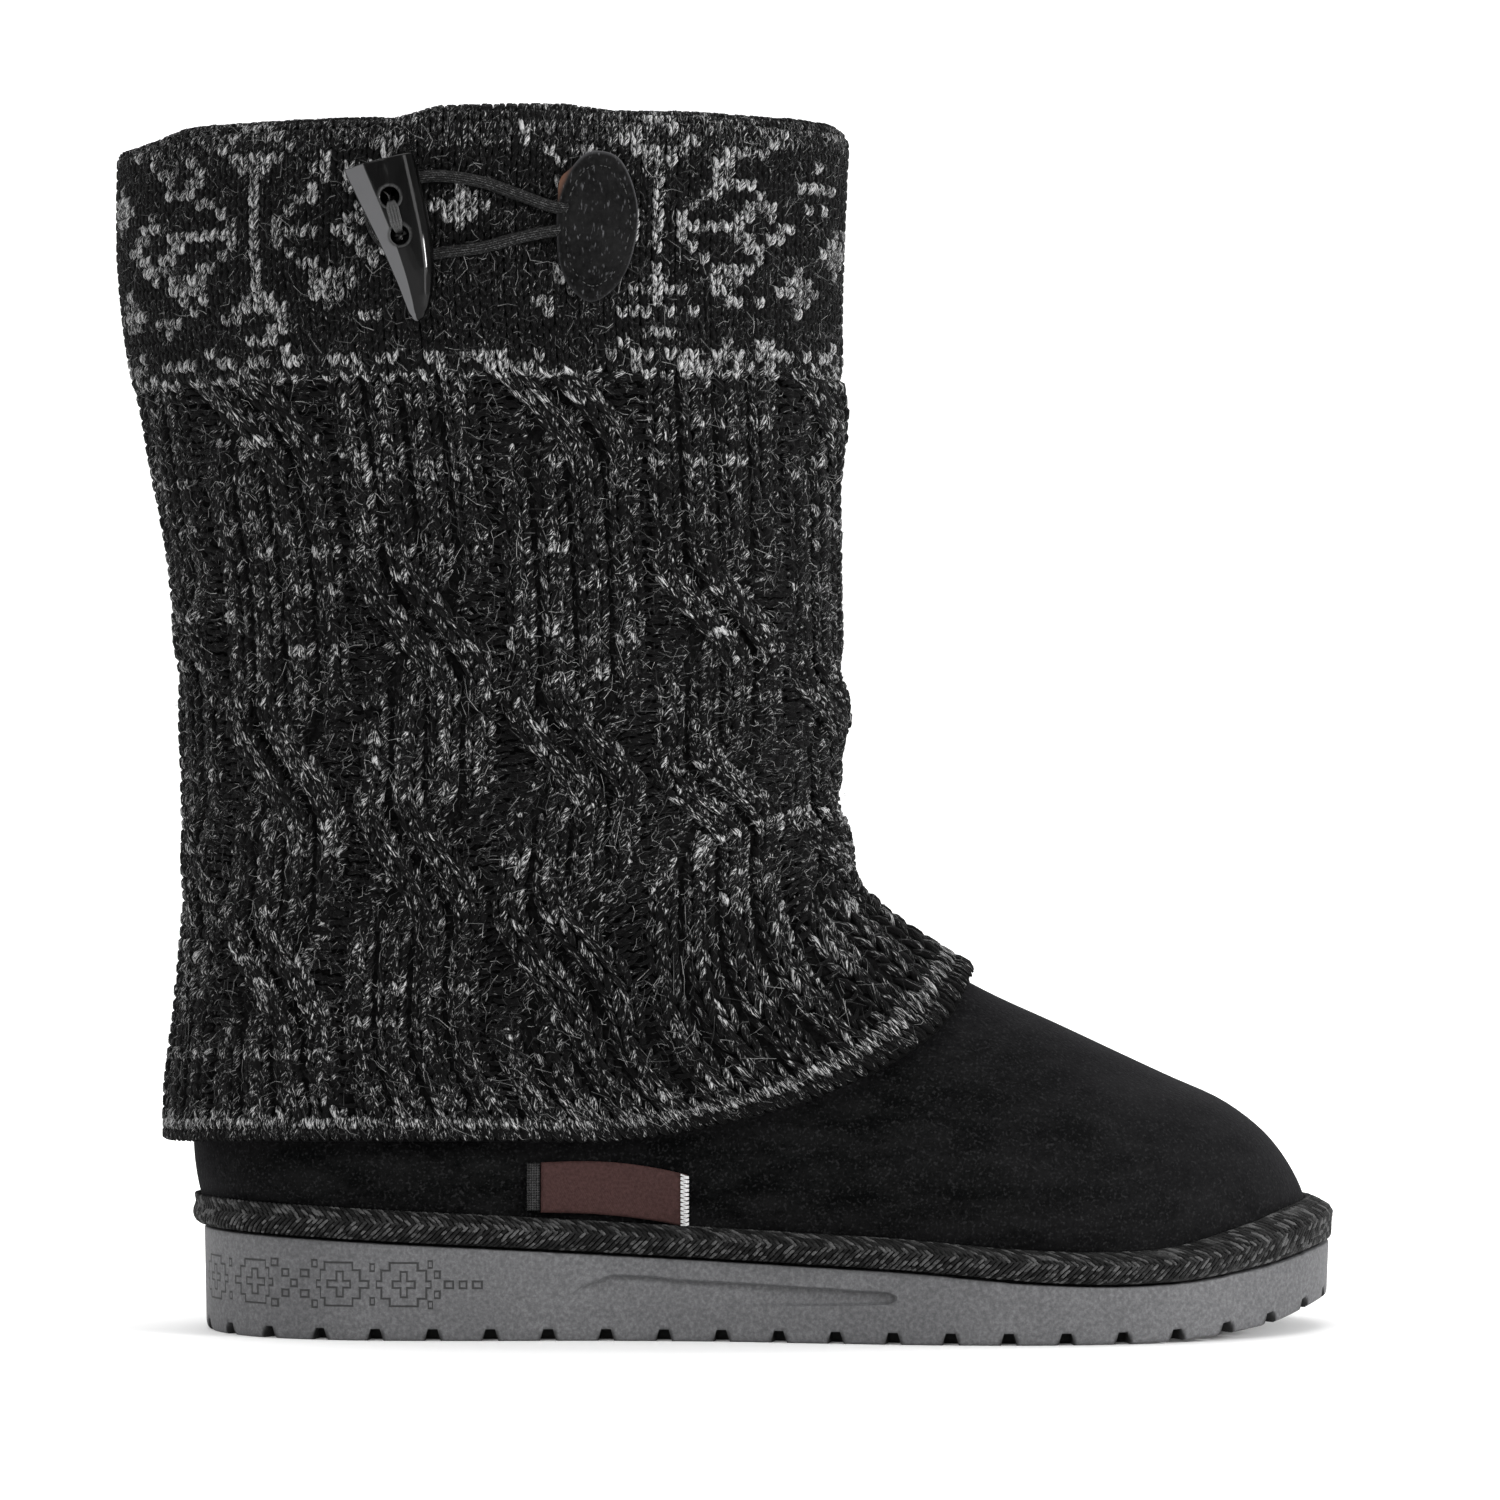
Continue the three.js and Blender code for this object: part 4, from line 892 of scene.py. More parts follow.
def sleeveCloth():
    # the middle of the knit from the turned-in edge, over the fold and down to the hem
    share = t = np.arange(knit["clothColumns"]) / knit["clothColumns"]
    wallMiddle = -boot["wall"] / 2
    gap = boot["wall"] / 2 + boot["clearance"] + boot["facetPlay"]
    outerMiddle, turnedMiddle = gap + knit["baseStand"], gap + knit["turned"] * 0.4
    top = courseHeight(t, 0)
    rows = []
    for depth in np.linspace(knit["turnDepth"], 0, foldStart + 1)[:-1]:
        row = rowAtHeight(t, top - depth)
        p = upperPoint(t, row) + upperNormal(t, row) * (wallMiddle - turnedMiddle)
        p[:, 2] = top - depth
        rows.append(p)
    collar = rowAtHeight(t, top)
    base, normal = upperPoint(t, collar), upperNormal(t, collar)
    # the rim rises a little beside the patch, dips at the toggle and drops at its back corner
    x = base[:, 0]
    swell = smooth(x, 14, 25) * (1 - 0.75 * smooth(x, 50, 66)) * (1 - smooth(x, 80, 100))
    dip = 0.4 * np.exp(-((x - 12) / 3) ** 2) + knit["cornerDrop"] * smooth(-x, 34, 54)
    swell = knit["collarSwell"] * swell - dip
    for turn in np.linspace(1, 0, sleeveTop - foldStart + 1):
        radius = lerp(outerMiddle, turnedMiddle, turn)
        p = base + normal * (wallMiddle + radius * math.cos(turn * math.pi))
        p[:, 2] = top + (radius + swell) * math.sin(turn * math.pi)
        rows.append(p)
    for down in np.linspace(0, 1, gridRows + 1)[1:]:
        t = waleTurn(share, down)
        row = rowAtHeight(t, courseHeight(t, down))
        stand = lerp(knit["baseStand"], knit["bodyStand"], smooth(down, *knit["standSpan"]))
        stand = sleeveStand(t, down) + stand
        rows.append(upperPoint(t, row) + upperNormal(t, row) * stand[:, None])
    return Cloth(np.array(rows))


sleeve = sleeveCloth()


def cableShift(number, body):
    # how far a crossing has gone at a share of the body, 0 to 1, and its closeness to the middle
    shift, near = np.zeros(np.shape(body)), np.zeros(np.shape(body))
    odd = np.mod(number + (number > knit["lastBeforeTwins"]), 2) == 1
    for kind, centres in enumerate(knit["crossings"]):
        for centre in centres:
            turn = (body - centre) / knit["crossingLength"]
            inside = (np.abs(turn) < 1) & (odd == bool(kind))
            shift = np.where(inside, smooth(turn, -1, 1), shift)
            near = np.where(inside, 1 - np.minimum(turn * turn, 1), near)
    return shift, near


def gridRow(down):
    # millimetres below the collar, less than none over the fold, as a row of the cloth
    foldEnd = -knit["foldReach"]
    stops = [foldEnd - knit["turnDepth"], foldEnd, 0, bodyLength]
    return np.interp(down, stops, [0, foldStart, sleeveTop, sleeveTop + gridRows])


def makeGround(look):
    # the dark ground behind the stitches, closed at the hem and inside the collar
    columns = knit["groundColumns"]
    share = np.arange(columns) / columns
    below = np.linspace(sleeveTop, sleeveTop + gridRows - 0.1, knit["groundRows"])
    outer = sleeve.at(*np.meshgrid(share, np.append(np.arange(0, sleeveTop, 3.0), below)), -0.1)[0]
    hem = []
    for down, lift in knit["hemRows"]:
        t = waleTurn(share, down)
        row = rowAtHeight(t, courseHeight(t, down))
        p = upperPoint(t, row) + upperNormal(t, row) * (sleeveStand(t, down) + 0.1)[:, None]
        p[:, 2] += lift
        hem.append(p)
    row = rowAtHeight(share, courseHeight(share, 0) - knit["turnDepth"])
    close = upperPoint(share, row) - upperNormal(share, row) * (boot["wall"] + 0.6)
    rings = np.concatenate([close[None], outer, np.array(hem)])
    makePiece("knit_ground", rings.reshape(-1, 3), [gridFaces(len(rings), columns)[:, ::-1]],
              ["knit_sleeve"], look)


def mirrored(quarter):
    # a whole motif from its upper left quarter, which holds the middle row and column
    rows = [row + row[-2::-1] for row in quarter]
    return rows + rows[-2::-1]


# Motifs of the cuff in stitches, and where their middles are: stitch around, row from the collar
motifs = {
    "snowflake": mirrored(["....#.....#", "....##....#", "....##....#", "..####....#",
                           ".....##...#", ".......#..#", "........#.#", "...######.#"]),
    "crossDiamond": mirrored(["...#", "..##", ".##.", "##.."]),
    "fullDiamond": mirrored(["..#", ".##", "###"]),
    "stepMark": ["###", ".#."],
}
motifPlaces = {
    "snowflake": [(18.4, 8.4), (51.1, 8.2), (84, 8.4), (117, 8.4)],
    "crossDiamond": [
        (18.4, 16.2), (18.4, 0.4), (51.1, 16.0), (51.1, 0.2), (8.2, 9.2), (60.8, 8.8), (28.8, 8.8),
        (84, 16.2), (84, 0.4), (74.2, 8.8), (93.8, 8.8), (117, 16.2), (117, 0.4), (107.2, 8.8),
        (126.8, 8.8), (140, 9.6)],
    "fullDiamond": [
        (35.4, 6.4), (66.9, 5.0), (64.8, 14.6), (69.6, 10.4), (3.4, 5.6), (4.6, 15.2), (100.4, 5.4),
        (100.4, 14.6), (133.4, 5.4), (133.4, 14.6)],
    "stepMark": [
        (25.6, 14.4), (27.6, 16.6), (11.2, 14.4), (9.2, 16.6), (44.4, 14.2), (42.4, 16.4),
        (57.6, 14.2), (59.8, 16.2), (27.0, 2.6), (29.4, 0.6), (43.2, 2.4), (41.0, 0.4),
        (59.4, 2.2), (61.6, 0.4), (10.4, 2.6), (8.0, 0.6)],
}


def cuffChart(rowCount, firstRow):
    # which stitches of the cuff are worked in the light yarn
    light = np.zeros((rowCount, knit["cuffStitches"]), bool)
    for name, lines in motifs.items():
        marks = np.argwhere(np.array([list(line) for line in lines]) == "#")
        for column, row in motifPlaces[name]:
            places = np.rint(marks + (row - len(lines) / 2, column - len(lines[0]) / 2)).astype(int)
            places[:, 0] -= firstRow
            kept = places[(places[:, 0] >= 0) & (places[:, 0] < rowCount)]
            light[kept[:, 0], kept[:, 1] % knit["cuffStitches"]] = True
    return light


def marlTones(rows, columns):
    # lighter and darker runs of a marled yarn, from one stitch to the next along the courses
    knots = rng.random(rows * columns // 3 + 2)
    run = np.interp(np.arange(rows * columns) / 3.0, np.arange(len(knots)), knots)
    return smooth(run, 0.15, 0.85).reshape(rows, columns)


def legPair(place, middle, high, leg, columns, tones):
    # both legs of plain stitches: place around, middle below the collar, height of a row
    w = np.linspace(0, 1, legSteps)[None]
    arch = np.sin(w * math.pi) ** 0.8
    wobble = lambda size: rng.normal(0, size, (len(place), 1))
    parts = []
    for side, tone in zip((-1, 1), tones):
        lateral = side * lerp(0.07, leg["open"], w) + wobble(0.03)
        tt = (place[:, None] + 0.5 + lateral) / columns
        down = middle[:, None] + wobble(0.06) * high + (0.5 - w) * leg["length"] * high
        swell = (0.4 + 0.6 * arch) * (1 + wobble(0.07))
        stand = leg["stand"] * (0.45 + 0.55 * arch) + wobble(0.07)
        centre, normal = sleeve.at(tt, gridRow(down), stand)
        parts.append(strands(centre, normal, leg["wide"] * swell, leg["high"] * swell, plainSection, tone))
    return parts


def marlRuns(rows, columns):
    # short light runs along the courses, here and there
    light = np.zeros((rows, columns))
    for row in range(rows):
        for start in rng.integers(0, columns, rng.poisson(columns / 36)):
            length = int(rng.gamma(3, 2.6)) + 2
            light[row, (start + np.arange(length)) % columns] = rng.uniform(0.55, 1)
    return light


def makeCuff(look):
    k, stitches = knit, knit["cuffStitches"]
    rowHigh = k["cuffDepth"] / k["cuffRows"]
    number = np.arange(-(k["foldRows"] + k["insideRows"]), int(k["cuffRows"]) + 1)
    light = cuffChart(len(number), number[0])
    light &= rng.random(light.shape) < 0.9
    for row, share in k["lightRows"]:
        light[number == row] = rng.random(stitches) < share
    rows, columns = (g.ravel() for g in np.meshgrid(number, np.arange(stitches), indexing="ij"))
    light, marl = light.ravel(), marlTones(len(number), stitches).ravel()
    upperHalf = rows < k["cuffSplit"]
    for name, group in (("knit_cuff_top", upperHalf), ("knit_cuff_lower", ~upperHalf)):
        r, count = rows[group], np.count_nonzero(group)
        fold = k["foldTone"] * smooth(r, -6.0, -4.0) * (1 - smooth(r, -1.0, 2.0))
        tones = [np.where(light[group], rng.uniform(*k["lightTones"], count),
                          fold + k["darkTone"] * marl[group] * rng.random(count)) for side in (0, 1)]
        middle = (r + 0.5) * rowHigh
        parts = legPair(columns[group], middle, rowHigh, k["cuffLeg"], stitches, tones)
        strandPiece(name, parts, look)


def makeBody(look):
    k, leg, c = knit, knit["bodyLeg"], knit["cable"]
    half = k["wales"] // 2
    w = np.linspace(0, 1, legSteps)[None]
    arch = np.sin(w * math.pi) ** 0.8
    marl = marlRuns(k["bodyRows"], k["repeats"] * k["wales"])
    for name, cables in (("knit_body_outer", range(6)), ("knit_body_inner", range(6, k["repeats"]))):
        grid = np.meshgrid(cables, np.arange(k["bodyRows"]), np.arange(k["wales"]), indexing="ij")
        cable, r, j = (g.reshape(-1, 1) for g in grid)
        count = len(r)
        wobble = lambda size: rng.normal(0, size, (count, 1))
        front, rib = j < half, j % 2 - 0.5
        atBack = np.where(cable == k["repeats"] - 1, c["atBack"], 1.0)
        parts = []
        for side in (-1, 1):
            middle = (r + 0.5 + wobble(0.06)) * bodyRowHigh
            down = middle + (0.5 - w) * leg["length"] * bodyRowHigh
            shiftMiddle, nearMiddle = cableShift(cable, middle / bodySpan)
            shift, near = cableShift(cable, np.clip(down / bodySpan, 0, 1))
            # a stitch whose middle lies outside a crossing doesn't take part in it
            shift = np.where(nearMiddle > 0, np.where(near > 0, shift, np.round(shiftMiddle)), 0)
            near = np.where(nearMiddle > 0, near, 0)
            ends = 1 - smooth(middle / bodySpan, 0, 0.03)
            plain = np.maximum(smooth(middle / bodySpan, 0.95, 0.985), ends)
            # wales from the cable's middle: the front half goes over to the other side
            place = j + np.where(front, half, -half) * shift - rib * k["ribGap"] * (1 - plain)
            place = (place - half + 0.5) * (1 + c["spread"] * near + 0.03 * plain)
            lateral = side * lerp(0.05, leg["open"], w)
            across = waleWide * (k["gutter"] / 2 + half + place + lateral) + wobble(0.003)
            tt = (cable + k["phase"] + across) / k["repeats"]
            crown = c["crown"] * (1 - ((rib + lateral) / c["crownWide"]) ** 2)
            plump = c["plump"] * (1 - (place / c["plumpWide"]) ** 2)
            raised = np.where(front, c["over"], c["under"]) * k["strandRelief"] * near * atBack
            bulge = c["bulge"] * near * atBack * (1 - ((j - (half - 1) / 2) / c["bulgeWide"]) ** 2)
            relief = crown + plump - c["sunk"] + raised + np.where(front, bulge, 0)
            stand = leg["stand"] * (0.3 + 0.7 * arch) + lerp(relief, 0.1, plain) + wobble(0.1)
            swell = (0.42 + 0.58 * arch) * (1 + wobble(0.08))
            centre, normal = sleeve.at(tt, gridRow(down + k["cuffDepth"]), stand)
            run = marl[r, cable * k["wales"] + j].ravel()
            tone = 0.22 + 0.3 * run * rng.uniform(0.3, 1.1, count) + rng.normal(0, 0.13, count)
            tone = np.where(r.ravel() == 0, rng.uniform(0.3, 0.75, count), tone + 0.06 * near.mean(1))
            parts.append(strands(centre, normal, leg["wide"] * swell, leg["high"] * swell,
                                 c["section"], tone))
        strandPiece(name, parts, look)


def makeEdge(look):
    # the hem ends in two courses of small stitches, the upper one light
    k, count, parts = knit, knit["edgeStitches"], []
    for course, (low, high) in enumerate(k["edgeTones"]):
        middle = np.full(count, bodyLength - k["edgeHigh"] * (1.5 - course) - 0.1)
        tones = [rng.uniform(low, high, count) for side in (0, 1)]
        parts += legPair(np.arange(count), middle, k["edgeHigh"], k["edgeLeg"], count, tones)
    strandPiece("knit_edge", parts, look)


def makePurl(look):
    # bumps of the purled ground beside the crossings and in the gutters, two for each course
    k, parts = knit, []
    rows = np.arange(k["bodyRows"] * 2 - 3)
    middle = (rows * 0.5 + 0.75) * bodyRowHigh
    bend = np.linspace(-0.5, 0.5, legSteps)[None]
    arc = 1 - (2 * bend) ** 2
    for cable in range(k["repeats"]):
        for offset, closeness in k["purls"]:
            own = cable if offset > 0 else (cable - 1) % k["repeats"]
            inGutter = (abs(offset) < 0.5) & (rows % 2 == 0)
            keep = (cableShift(own, middle / bodySpan)[1] > closeness) | inGutter
            odd, count = rows[keep][:, None] % 2, np.count_nonzero(keep)
            down = middle[keep][:, None] + k["cuffDepth"] + rng.normal(0, 0.4, (count, 1))
            step = offset + 0.38 * odd - 0.19 + rng.normal(0, 0.12, (count, 1))
            tt = (cable + k["phase"] + waleWide * (step * 0.8 + bend * 0.95)) / k["repeats"]
            down = down + k["purlBend"] * (1 - 2 * odd) * (arc - 0.5)
            centre, normal = sleeve.at(tt, gridRow(down), 0.55 + 0.5 * arc)
            size = k["purlWide"] * (0.55 + 0.45 * arc) * rng.uniform(0.85, 1.15, (count, 1))
            tone = rng.uniform(-0.25, 0.25, count)
            parts.append(strands(centre, normal, size, size, plainSection, tone))
    strandPiece("knit_purl", parts, look)


fuzz = {
    "count": 30000, "from": -10, "shape": 2.0, "length": 0.95, "least": 0.8, "curl": 0.9, "turn": 440,
    "stand": (1.7, 2.1), "lift": 0.6, "thick": 0.04, "thin": 0.012, "section": [180, 0],
}


def makeFuzz(look):
    # loose fibres that stand off the knit
    f, count = fuzz, fuzz["count"]
    t, down = rng.random(count), rng.uniform(f["from"], bodyLength - 1, count)
    length = rng.gamma(f["shape"], f["length"], count) + f["least"]
    heading = rng.uniform(0, 2 * math.pi, count)
    w = np.linspace(0, 1, 3)[None]
    curl = heading[:, None] + rng.normal(0, f["curl"], (count, 1)) * w
    tt = t[:, None] + length[:, None] * w * np.cos(curl) / f["turn"]
    down = down[:, None] + length[:, None] * w * np.sin(curl)
    stand = lerp(*f["stand"], smooth(down, knit["cuffDepth"], knit["cuffDepth"] + 4))
    lift = stand + w * rng.exponential(f["lift"], (count, 1)) + rng.uniform(-0.5, 0.5, (count, 1))
    centre, normal = sleeve.at(tt, gridRow(down), lift)
    thick = np.maximum(f["thick"] * (1 - 0.75 * w), f["thin"]) * rng.uniform(0.7, 1.3, (count, 1))
    part = strands(centre, normal, thick, thick, f["section"], rng.uniform(0, 1, count))
    strandPiece("knit_fuzz", [part], look)


def knitLooks():
    dark = knit["dark"]
    ground = Look("knit ground")
    fibre = ground.noise(ground.objectPlace(), 700, 4, 0.7)
    tone = ground.ramp(fibre, (0.4, dark * 0.6), (0.72, dark * 2.4))
    groundLook = ground.finish(Base_Color=tone, Roughness=1.0, Specular_IOR_Level=0.03,
                               Normal=ground.bump(fibre, 0.0006))
    yarn = Look("marled yarn")
    tone = yarn.value("tone")
    across, along = yarn.split(yarn.uvPlace("strand"))[:2]
    skewed = yarn.scaled(along, 0.55, across)
    place = yarn.add("ShaderNodeCombineXYZ", 0, X=yarn.times(skewed, 7.0), Y=yarn.times(along, 1.7),
                     Z=yarn.times(tone, 731.7))
    streak = yarn.noise(place, 1.3, 3, 0.62)
    fine = yarn.noise(place, 2.6, 2, 0.6)
    level = yarn.plus(yarn.weigh(streak, 0.66, fine, 0.34), yarn.scaled(tone, 0.25, -0.03))
    # painted shade: a leg is darker at its sides and ends, where it meets the next stitches
    rim, tip = (yarn.math("ABSOLUTE", yarn.scaled(way, 2.0, -1.0)) for way in (across, along))
    edge = yarn.plus(yarn.math("POWER", rim, 3.0), yarn.math("POWER", tip, 6.0))
    level = yarn.plus(level, yarn.scaled(edge, -0.13, 0.002))
    colour = yarn.ramp(level, (0.54, dark), (0.62, knit["mid"]), (0.72, knit["light"]))
    height = yarn.weigh(streak, 0.8, fine, 0.4)
    yarnLook = yarn.finish(Base_Color=colour, Roughness=0.85, Specular_IOR_Level=0.05, Sheen_Weight=0.015,
                           Sheen_Roughness=0.5, Normal=yarn.bump(height, 0.0007, 0.9))
    hair = Look("loose fibre")
    shade = hair.ramp(hair.value("tone"), (0.2, 0.015), (0.7, 0.08), (1.0, 0.34))
    hairLook = hair.finish(Base_Color=shade, Roughness=0.7, Specular_IOR_Level=0.1)
    return groundLook, yarnLook, hairLook


groundLook, yarnLook, hairLook = knitLooks()
makeGround(groundLook)
makeCuff(yarnLook)
makeBody(yarnLook)
makeEdge(yarnLook)
makePurl(yarnLook)
makeFuzz(hairLook)
print("knit sleeve made")


# Closure: horn toggle, its thread, the elastic cord and the oval patch

closure = {
    "toggleLength": 38, "toggleWidth": 16.4, "toggleDepth": 9.4, "holeRadius": 2.2, "rimWidth": 0.65,
    "toggleTop": (11.4, 274.6), "lean": 0.25, "holes": (0.235, 0.475), "holeShift": 0.6, "holeDeep": 0.52,
    "toggleSides": 144, "toggleRows": 104, "tipRows": 18, "tipStart": 0.925, "bevels": (0.09, 0.035),
    # the facet's plane: which way it faces around the horn, and how far out it cuts
    "facet": (-0.81, -0.59, 0.875),
    "threadShifts": (-1.02, -0.34, 0.34, 1.02), "threadRadius": 0.38, "tailRadius": 0.16, "cord": 2.8,
    "patchWidth": 17.8, "patchHeight": 35, "patchEdge": 1.3, "patchDome": 3.4,
    "patchCentre": (59.0, 260.4), "patchLean": 0.07, "stitches": 46, "stitchInset": 0.8,
    "patchRings": [1, 1, 0.985, 0.95, 0.9, 0.85, 0.8, 0.75, 0.68, 0.6, 0.5, 0.4, 0.3, 0.2, 0.1, 0.03],
    "patchSides": 132, "sliverTurn": 2.62, "sliver": 0.12, "stitchRadius": 0.13,
}
toggleSections = np.array([
    (0, 1, 0.92, 0), (0.12, 0.955, 0.97, 0.012), (0.3, 0.86, 1, 0.03), (0.5, 0.735, 0.94, 0.045),
    (0.7, 0.58, 0.8, 0.045), (0.86, 0.41, 0.6, 0.03), (0.95, 0.27, 0.42, 0.012), (1, 0.1, 0.16, 0),
])
cordRoute = [
    (57.1, 264.6), (50.3, 264.2), (41.6, 267.2), (33.7, 270), (25.1, 271.4), (19.3, 271), (13.5, 269.4),
    (10.1, 266.2), (8.9, 262.2), (10.1, 258.2), (13.5, 254.8), (19.3, 253.2), (25.1, 253.8),
    (33.7, 255), (43.1, 257.6), (50.8, 259), (57.1, 259.2),
]


def onCuff(x, z, stand):
    t, row = outerSide(np.asarray(x, float), np.asarray(z, float))
    off = boot["clearance"] + boot["facetPlay"] + knit["thickness"] + np.asarray(stand, float)
    return upperPoint(t, row) + upperNormal(t, row) * off[..., None]


def smoothPath(points, count):
    # evenly spaced places on a soft curve through points
    points = np.asarray(points, float)
    rows = np.linspace(0, len(points) - 1, 600)
    table = arcTable(np.stack([rowValue(points[:, k], rows) for k in range(3)], 1))
    goal = np.linspace(0, 1, count)
    path = [np.interp(goal, table["share"], table["path"][:, k]) for k in range(3)]
    return np.stack(path, 1), table["length"]


def ringTurns(sides):
    return np.arange(sides) / sides * 2 * math.pi


def capFaces(count, sides):
    # triangles that close both ends of a tube; its two end points follow the rings
    around, last, tip = np.arange(sides), (count - 1) * sides, np.full(sides, count * sides)
    after = (around + 1) % sides
    return [np.stack([tip, after, around], 1), np.stack([tip + 1, last + around, last + after], 1)]


def tubeRings(path, radius, sides, up):
    # rings around a path
    ahead = np.gradient(path, axis=0)
    ahead /= np.linalg.norm(ahead, axis=1, keepdims=True)
    side = np.cross(ahead, np.asarray(up, float))
    side /= np.linalg.norm(side, axis=1, keepdims=True)
    lift, turn = np.cross(side, ahead), ringTurns(sides)[None, :, None]
    return path[:, None] + radius * (np.cos(turn) * side[:, None] + np.sin(turn) * lift[:, None])


def closedTube(name, points, steps, radius, sides, nodes, look, up=(1, 0, 0)):
    path, length = smoothPath(points, steps)
    rings = tubeRings(path, radius, sides, up)
    ends = np.array([rings[0].mean(0), rings[-1].mean(0)])
    piece = makePiece(name, np.concatenate([rings.reshape(-1, 3), ends]),
                      [gridFaces(steps, sides), *capFaces(steps, sides)], nodes, look)
    folded = np.abs(np.linspace(-1, 1, sides)) * sides
    along, around = np.meshgrid(np.linspace(0, length, steps), folded, indexing="ij")
    places = np.stack([around.ravel(), along.ravel()], 1)
    setUv(piece, "strand", np.concatenate([places, [[0, 0], [0, length]]]))


toggleAxis = np.array([math.sin(closure["lean"]), 0, -math.cos(closure["lean"])])
toggleAcross = np.array([math.cos(closure["lean"]), 0, math.sin(closure["lean"])])
toggleStand = boot["clearance"] * 2 + closure["cord"] + closure["toggleDepth"] / 2
toggleMiddle = onCuff(closure["toggleTop"][0] + toggleAxis[0] * closure["toggleLength"] / 2,
                      closure["toggleTop"][1] + toggleAxis[2] * closure["toggleLength"] / 2, toggleStand)


def cutHoles(a, b, l):
    # sinks the two thread holes into the horn, with a soft rim; columns are moved onto their edges
    c = closure
    r, rim = c["holeRadius"], c["rimWidth"]
    sunk, ring = np.zeros(a.shape, bool), np.zeros(a.shape)
    for share in c["holes"]:
        da, dl = a - c["holeShift"], l - share * c["toggleLength"]
        d = np.hypot(da, dl)
        for edge in (r, r + rim):
            near = np.abs(d - edge) < 0.17
            scale = np.where(near, edge / np.maximum(d, 1e-6), 1)
            da, dl, d = da * scale, dl * scale, np.where(near, edge, d)
        deep, close = (r - d) / r > c["holeDeep"], d < r + rim + 0.3
        pull = np.where(deep, 0.9, np.where(d < r, r / np.maximum(d, 1e-6), 1))
        a = np.where(close, c["holeShift"] + da * pull, a)
        l = np.where(close, share * c["toggleLength"] + dl * pull, l)
        inside = np.where(d < r, np.clip((r - d) / r * 2, 0, 1), 0)
        slope = np.where(d >= r, np.clip(1 - (d - r) / rim, 0, 1) * 0.4, 0)
        b = b * (1 - inside) - np.sign(b) * slope * close
        sunk = sunk | deep
        ring = ring + np.where(close, np.exp(-((d - r - rim * 0.6) / 0.2) ** 2), 0)
    return a, b, l, sunk, ring


def makeToggle(look):
    c, sides = closure, closure["toggleSides"]
    tipRows = 0.9 + 0.1 * np.sin(np.linspace(0, math.pi / 2, c["tipRows"])[1:])
    along = np.concatenate([np.linspace(0, 0.9, c["toggleRows"]), tipRows])
    row = np.interp(along, toggleSections[:, 0], np.arange(len(toggleSections)))
    width, depth, bow = (rowValue(toggleSections[:, k], row) for k in (1, 2, 3))
    tip = np.clip((along - c["tipStart"]) / (1 - c["tipStart"]), 0, 1)
    taper = 0.1 + 0.9 * np.sqrt(np.clip(1 - tip ** 2, 0, 1))
    width, depth = np.maximum(width, 0.24) * taper, np.maximum(depth, 0.36) * taper
    x, y = (way(ringTurns(sides))[None] * np.ones((len(along), 1)) for way in (np.cos, np.sin))
    y = -y
    # a flat facet down the left of the front
    facetX, facetY, cut = c["facet"]
    over = np.maximum(x * facetX + y * facetY - cut, 0)
    facet = smooth(over, 0.0, 0.02)
    x, y = x - facetX * over, y - facetY * over
    a = x * width[:, None] * c["toggleWidth"] / 2 + bow[:, None] * c["toggleLength"]
    b = y * depth[:, None] * c["toggleDepth"] / 2
    a, b, l, sunk, ring = cutHoles(a, b, along[:, None] * c["toggleLength"] * np.ones(sides))
    grid = toggleMiddle + (l - c["toggleLength"] / 2)[..., None] * toggleAxis + a[..., None] * toggleAcross
    grid[..., 1] += b
    topCentre = grid[0].mean(0)
    bevel = [lerp(grid[0], topCentre, share) for share in c["bevels"]]
    grid[0] += toggleAxis * 0.25
    rings = np.concatenate([bevel, grid])
    blank = np.zeros(len(bevel) * sides)
    faces = gridFaces(len(rings), sides)
    faces = faces[~np.concatenate([blank > 0, sunk.ravel()])[faces].all(1)]
    points = np.concatenate([rings.reshape(-1, 3), [topCentre], [rings[-1].mean(0)]])
    piece = makePiece("toggle_horn", points, [faces, *capFaces(len(rings), sides)], ["toggle"], look)
    # the facet value marks where the painted reflection goes
    facet = facet * (1 - ring.clip(0, 1))
    for name, values in (("facet", facet), ("rim", ring)):
        setValues(piece, name, np.concatenate([blank, values.ravel(), [0, 0]]))


def togglePlace(along, across, y):
    p = toggleMiddle + (along - 0.5) * closure["toggleLength"] * toggleAxis + across * toggleAcross
    return p + np.array([0, y, 0])


def makeThread(look):
    # four turns through both holes, and a short tail
    c = closure
    front = -(c["toggleDepth"] / 2 + 0.45)
    behind = toggleStand - boot["clearance"] - 0.6
    first, second = c["holes"]
    inset = 1.1 / c["toggleLength"]
    for k, shift in enumerate(c["threadShifts"]):
        over, through = c["holeShift"] + shift, c["holeShift"] + shift * 0.6
        route = [(first + inset, through, behind), (first + inset, through, 0),
                 (first + inset * 1.3, through, front * 0.78)]
        route += [(lerp(first, second, share), over, front) for share in (0.3, 0.5, 0.7)]
        route += [(second - inset * 1.3, through, front * 0.78), (second - inset, through, 0),
                  (second - inset, through, behind)]
        closedTube("toggle_thread_%d" % (k + 1), [togglePlace(*place) for place in route], 70,
                   c["threadRadius"], 8, [] if k else ["toggle_thread"], look)
    tail = [togglePlace(first - 0.045, -0.6, -2.0), togglePlace(first - 0.01, 0.3, -3.4),
            togglePlace(first + 0.04, 0.2, -1.5)]
    closedTube("toggle_thread_tail", tail, 16, c["tailRadius"], 6, [], look)


def makeCord(look):
    radius = closure["cord"] / 2
    route = onCuff(*np.array(cordRoute).T, boot["clearance"] + radius)
    closedTube("cord_elastic", route, 380, radius, 20, ["cord_loop"], look, (0, 1, 0))


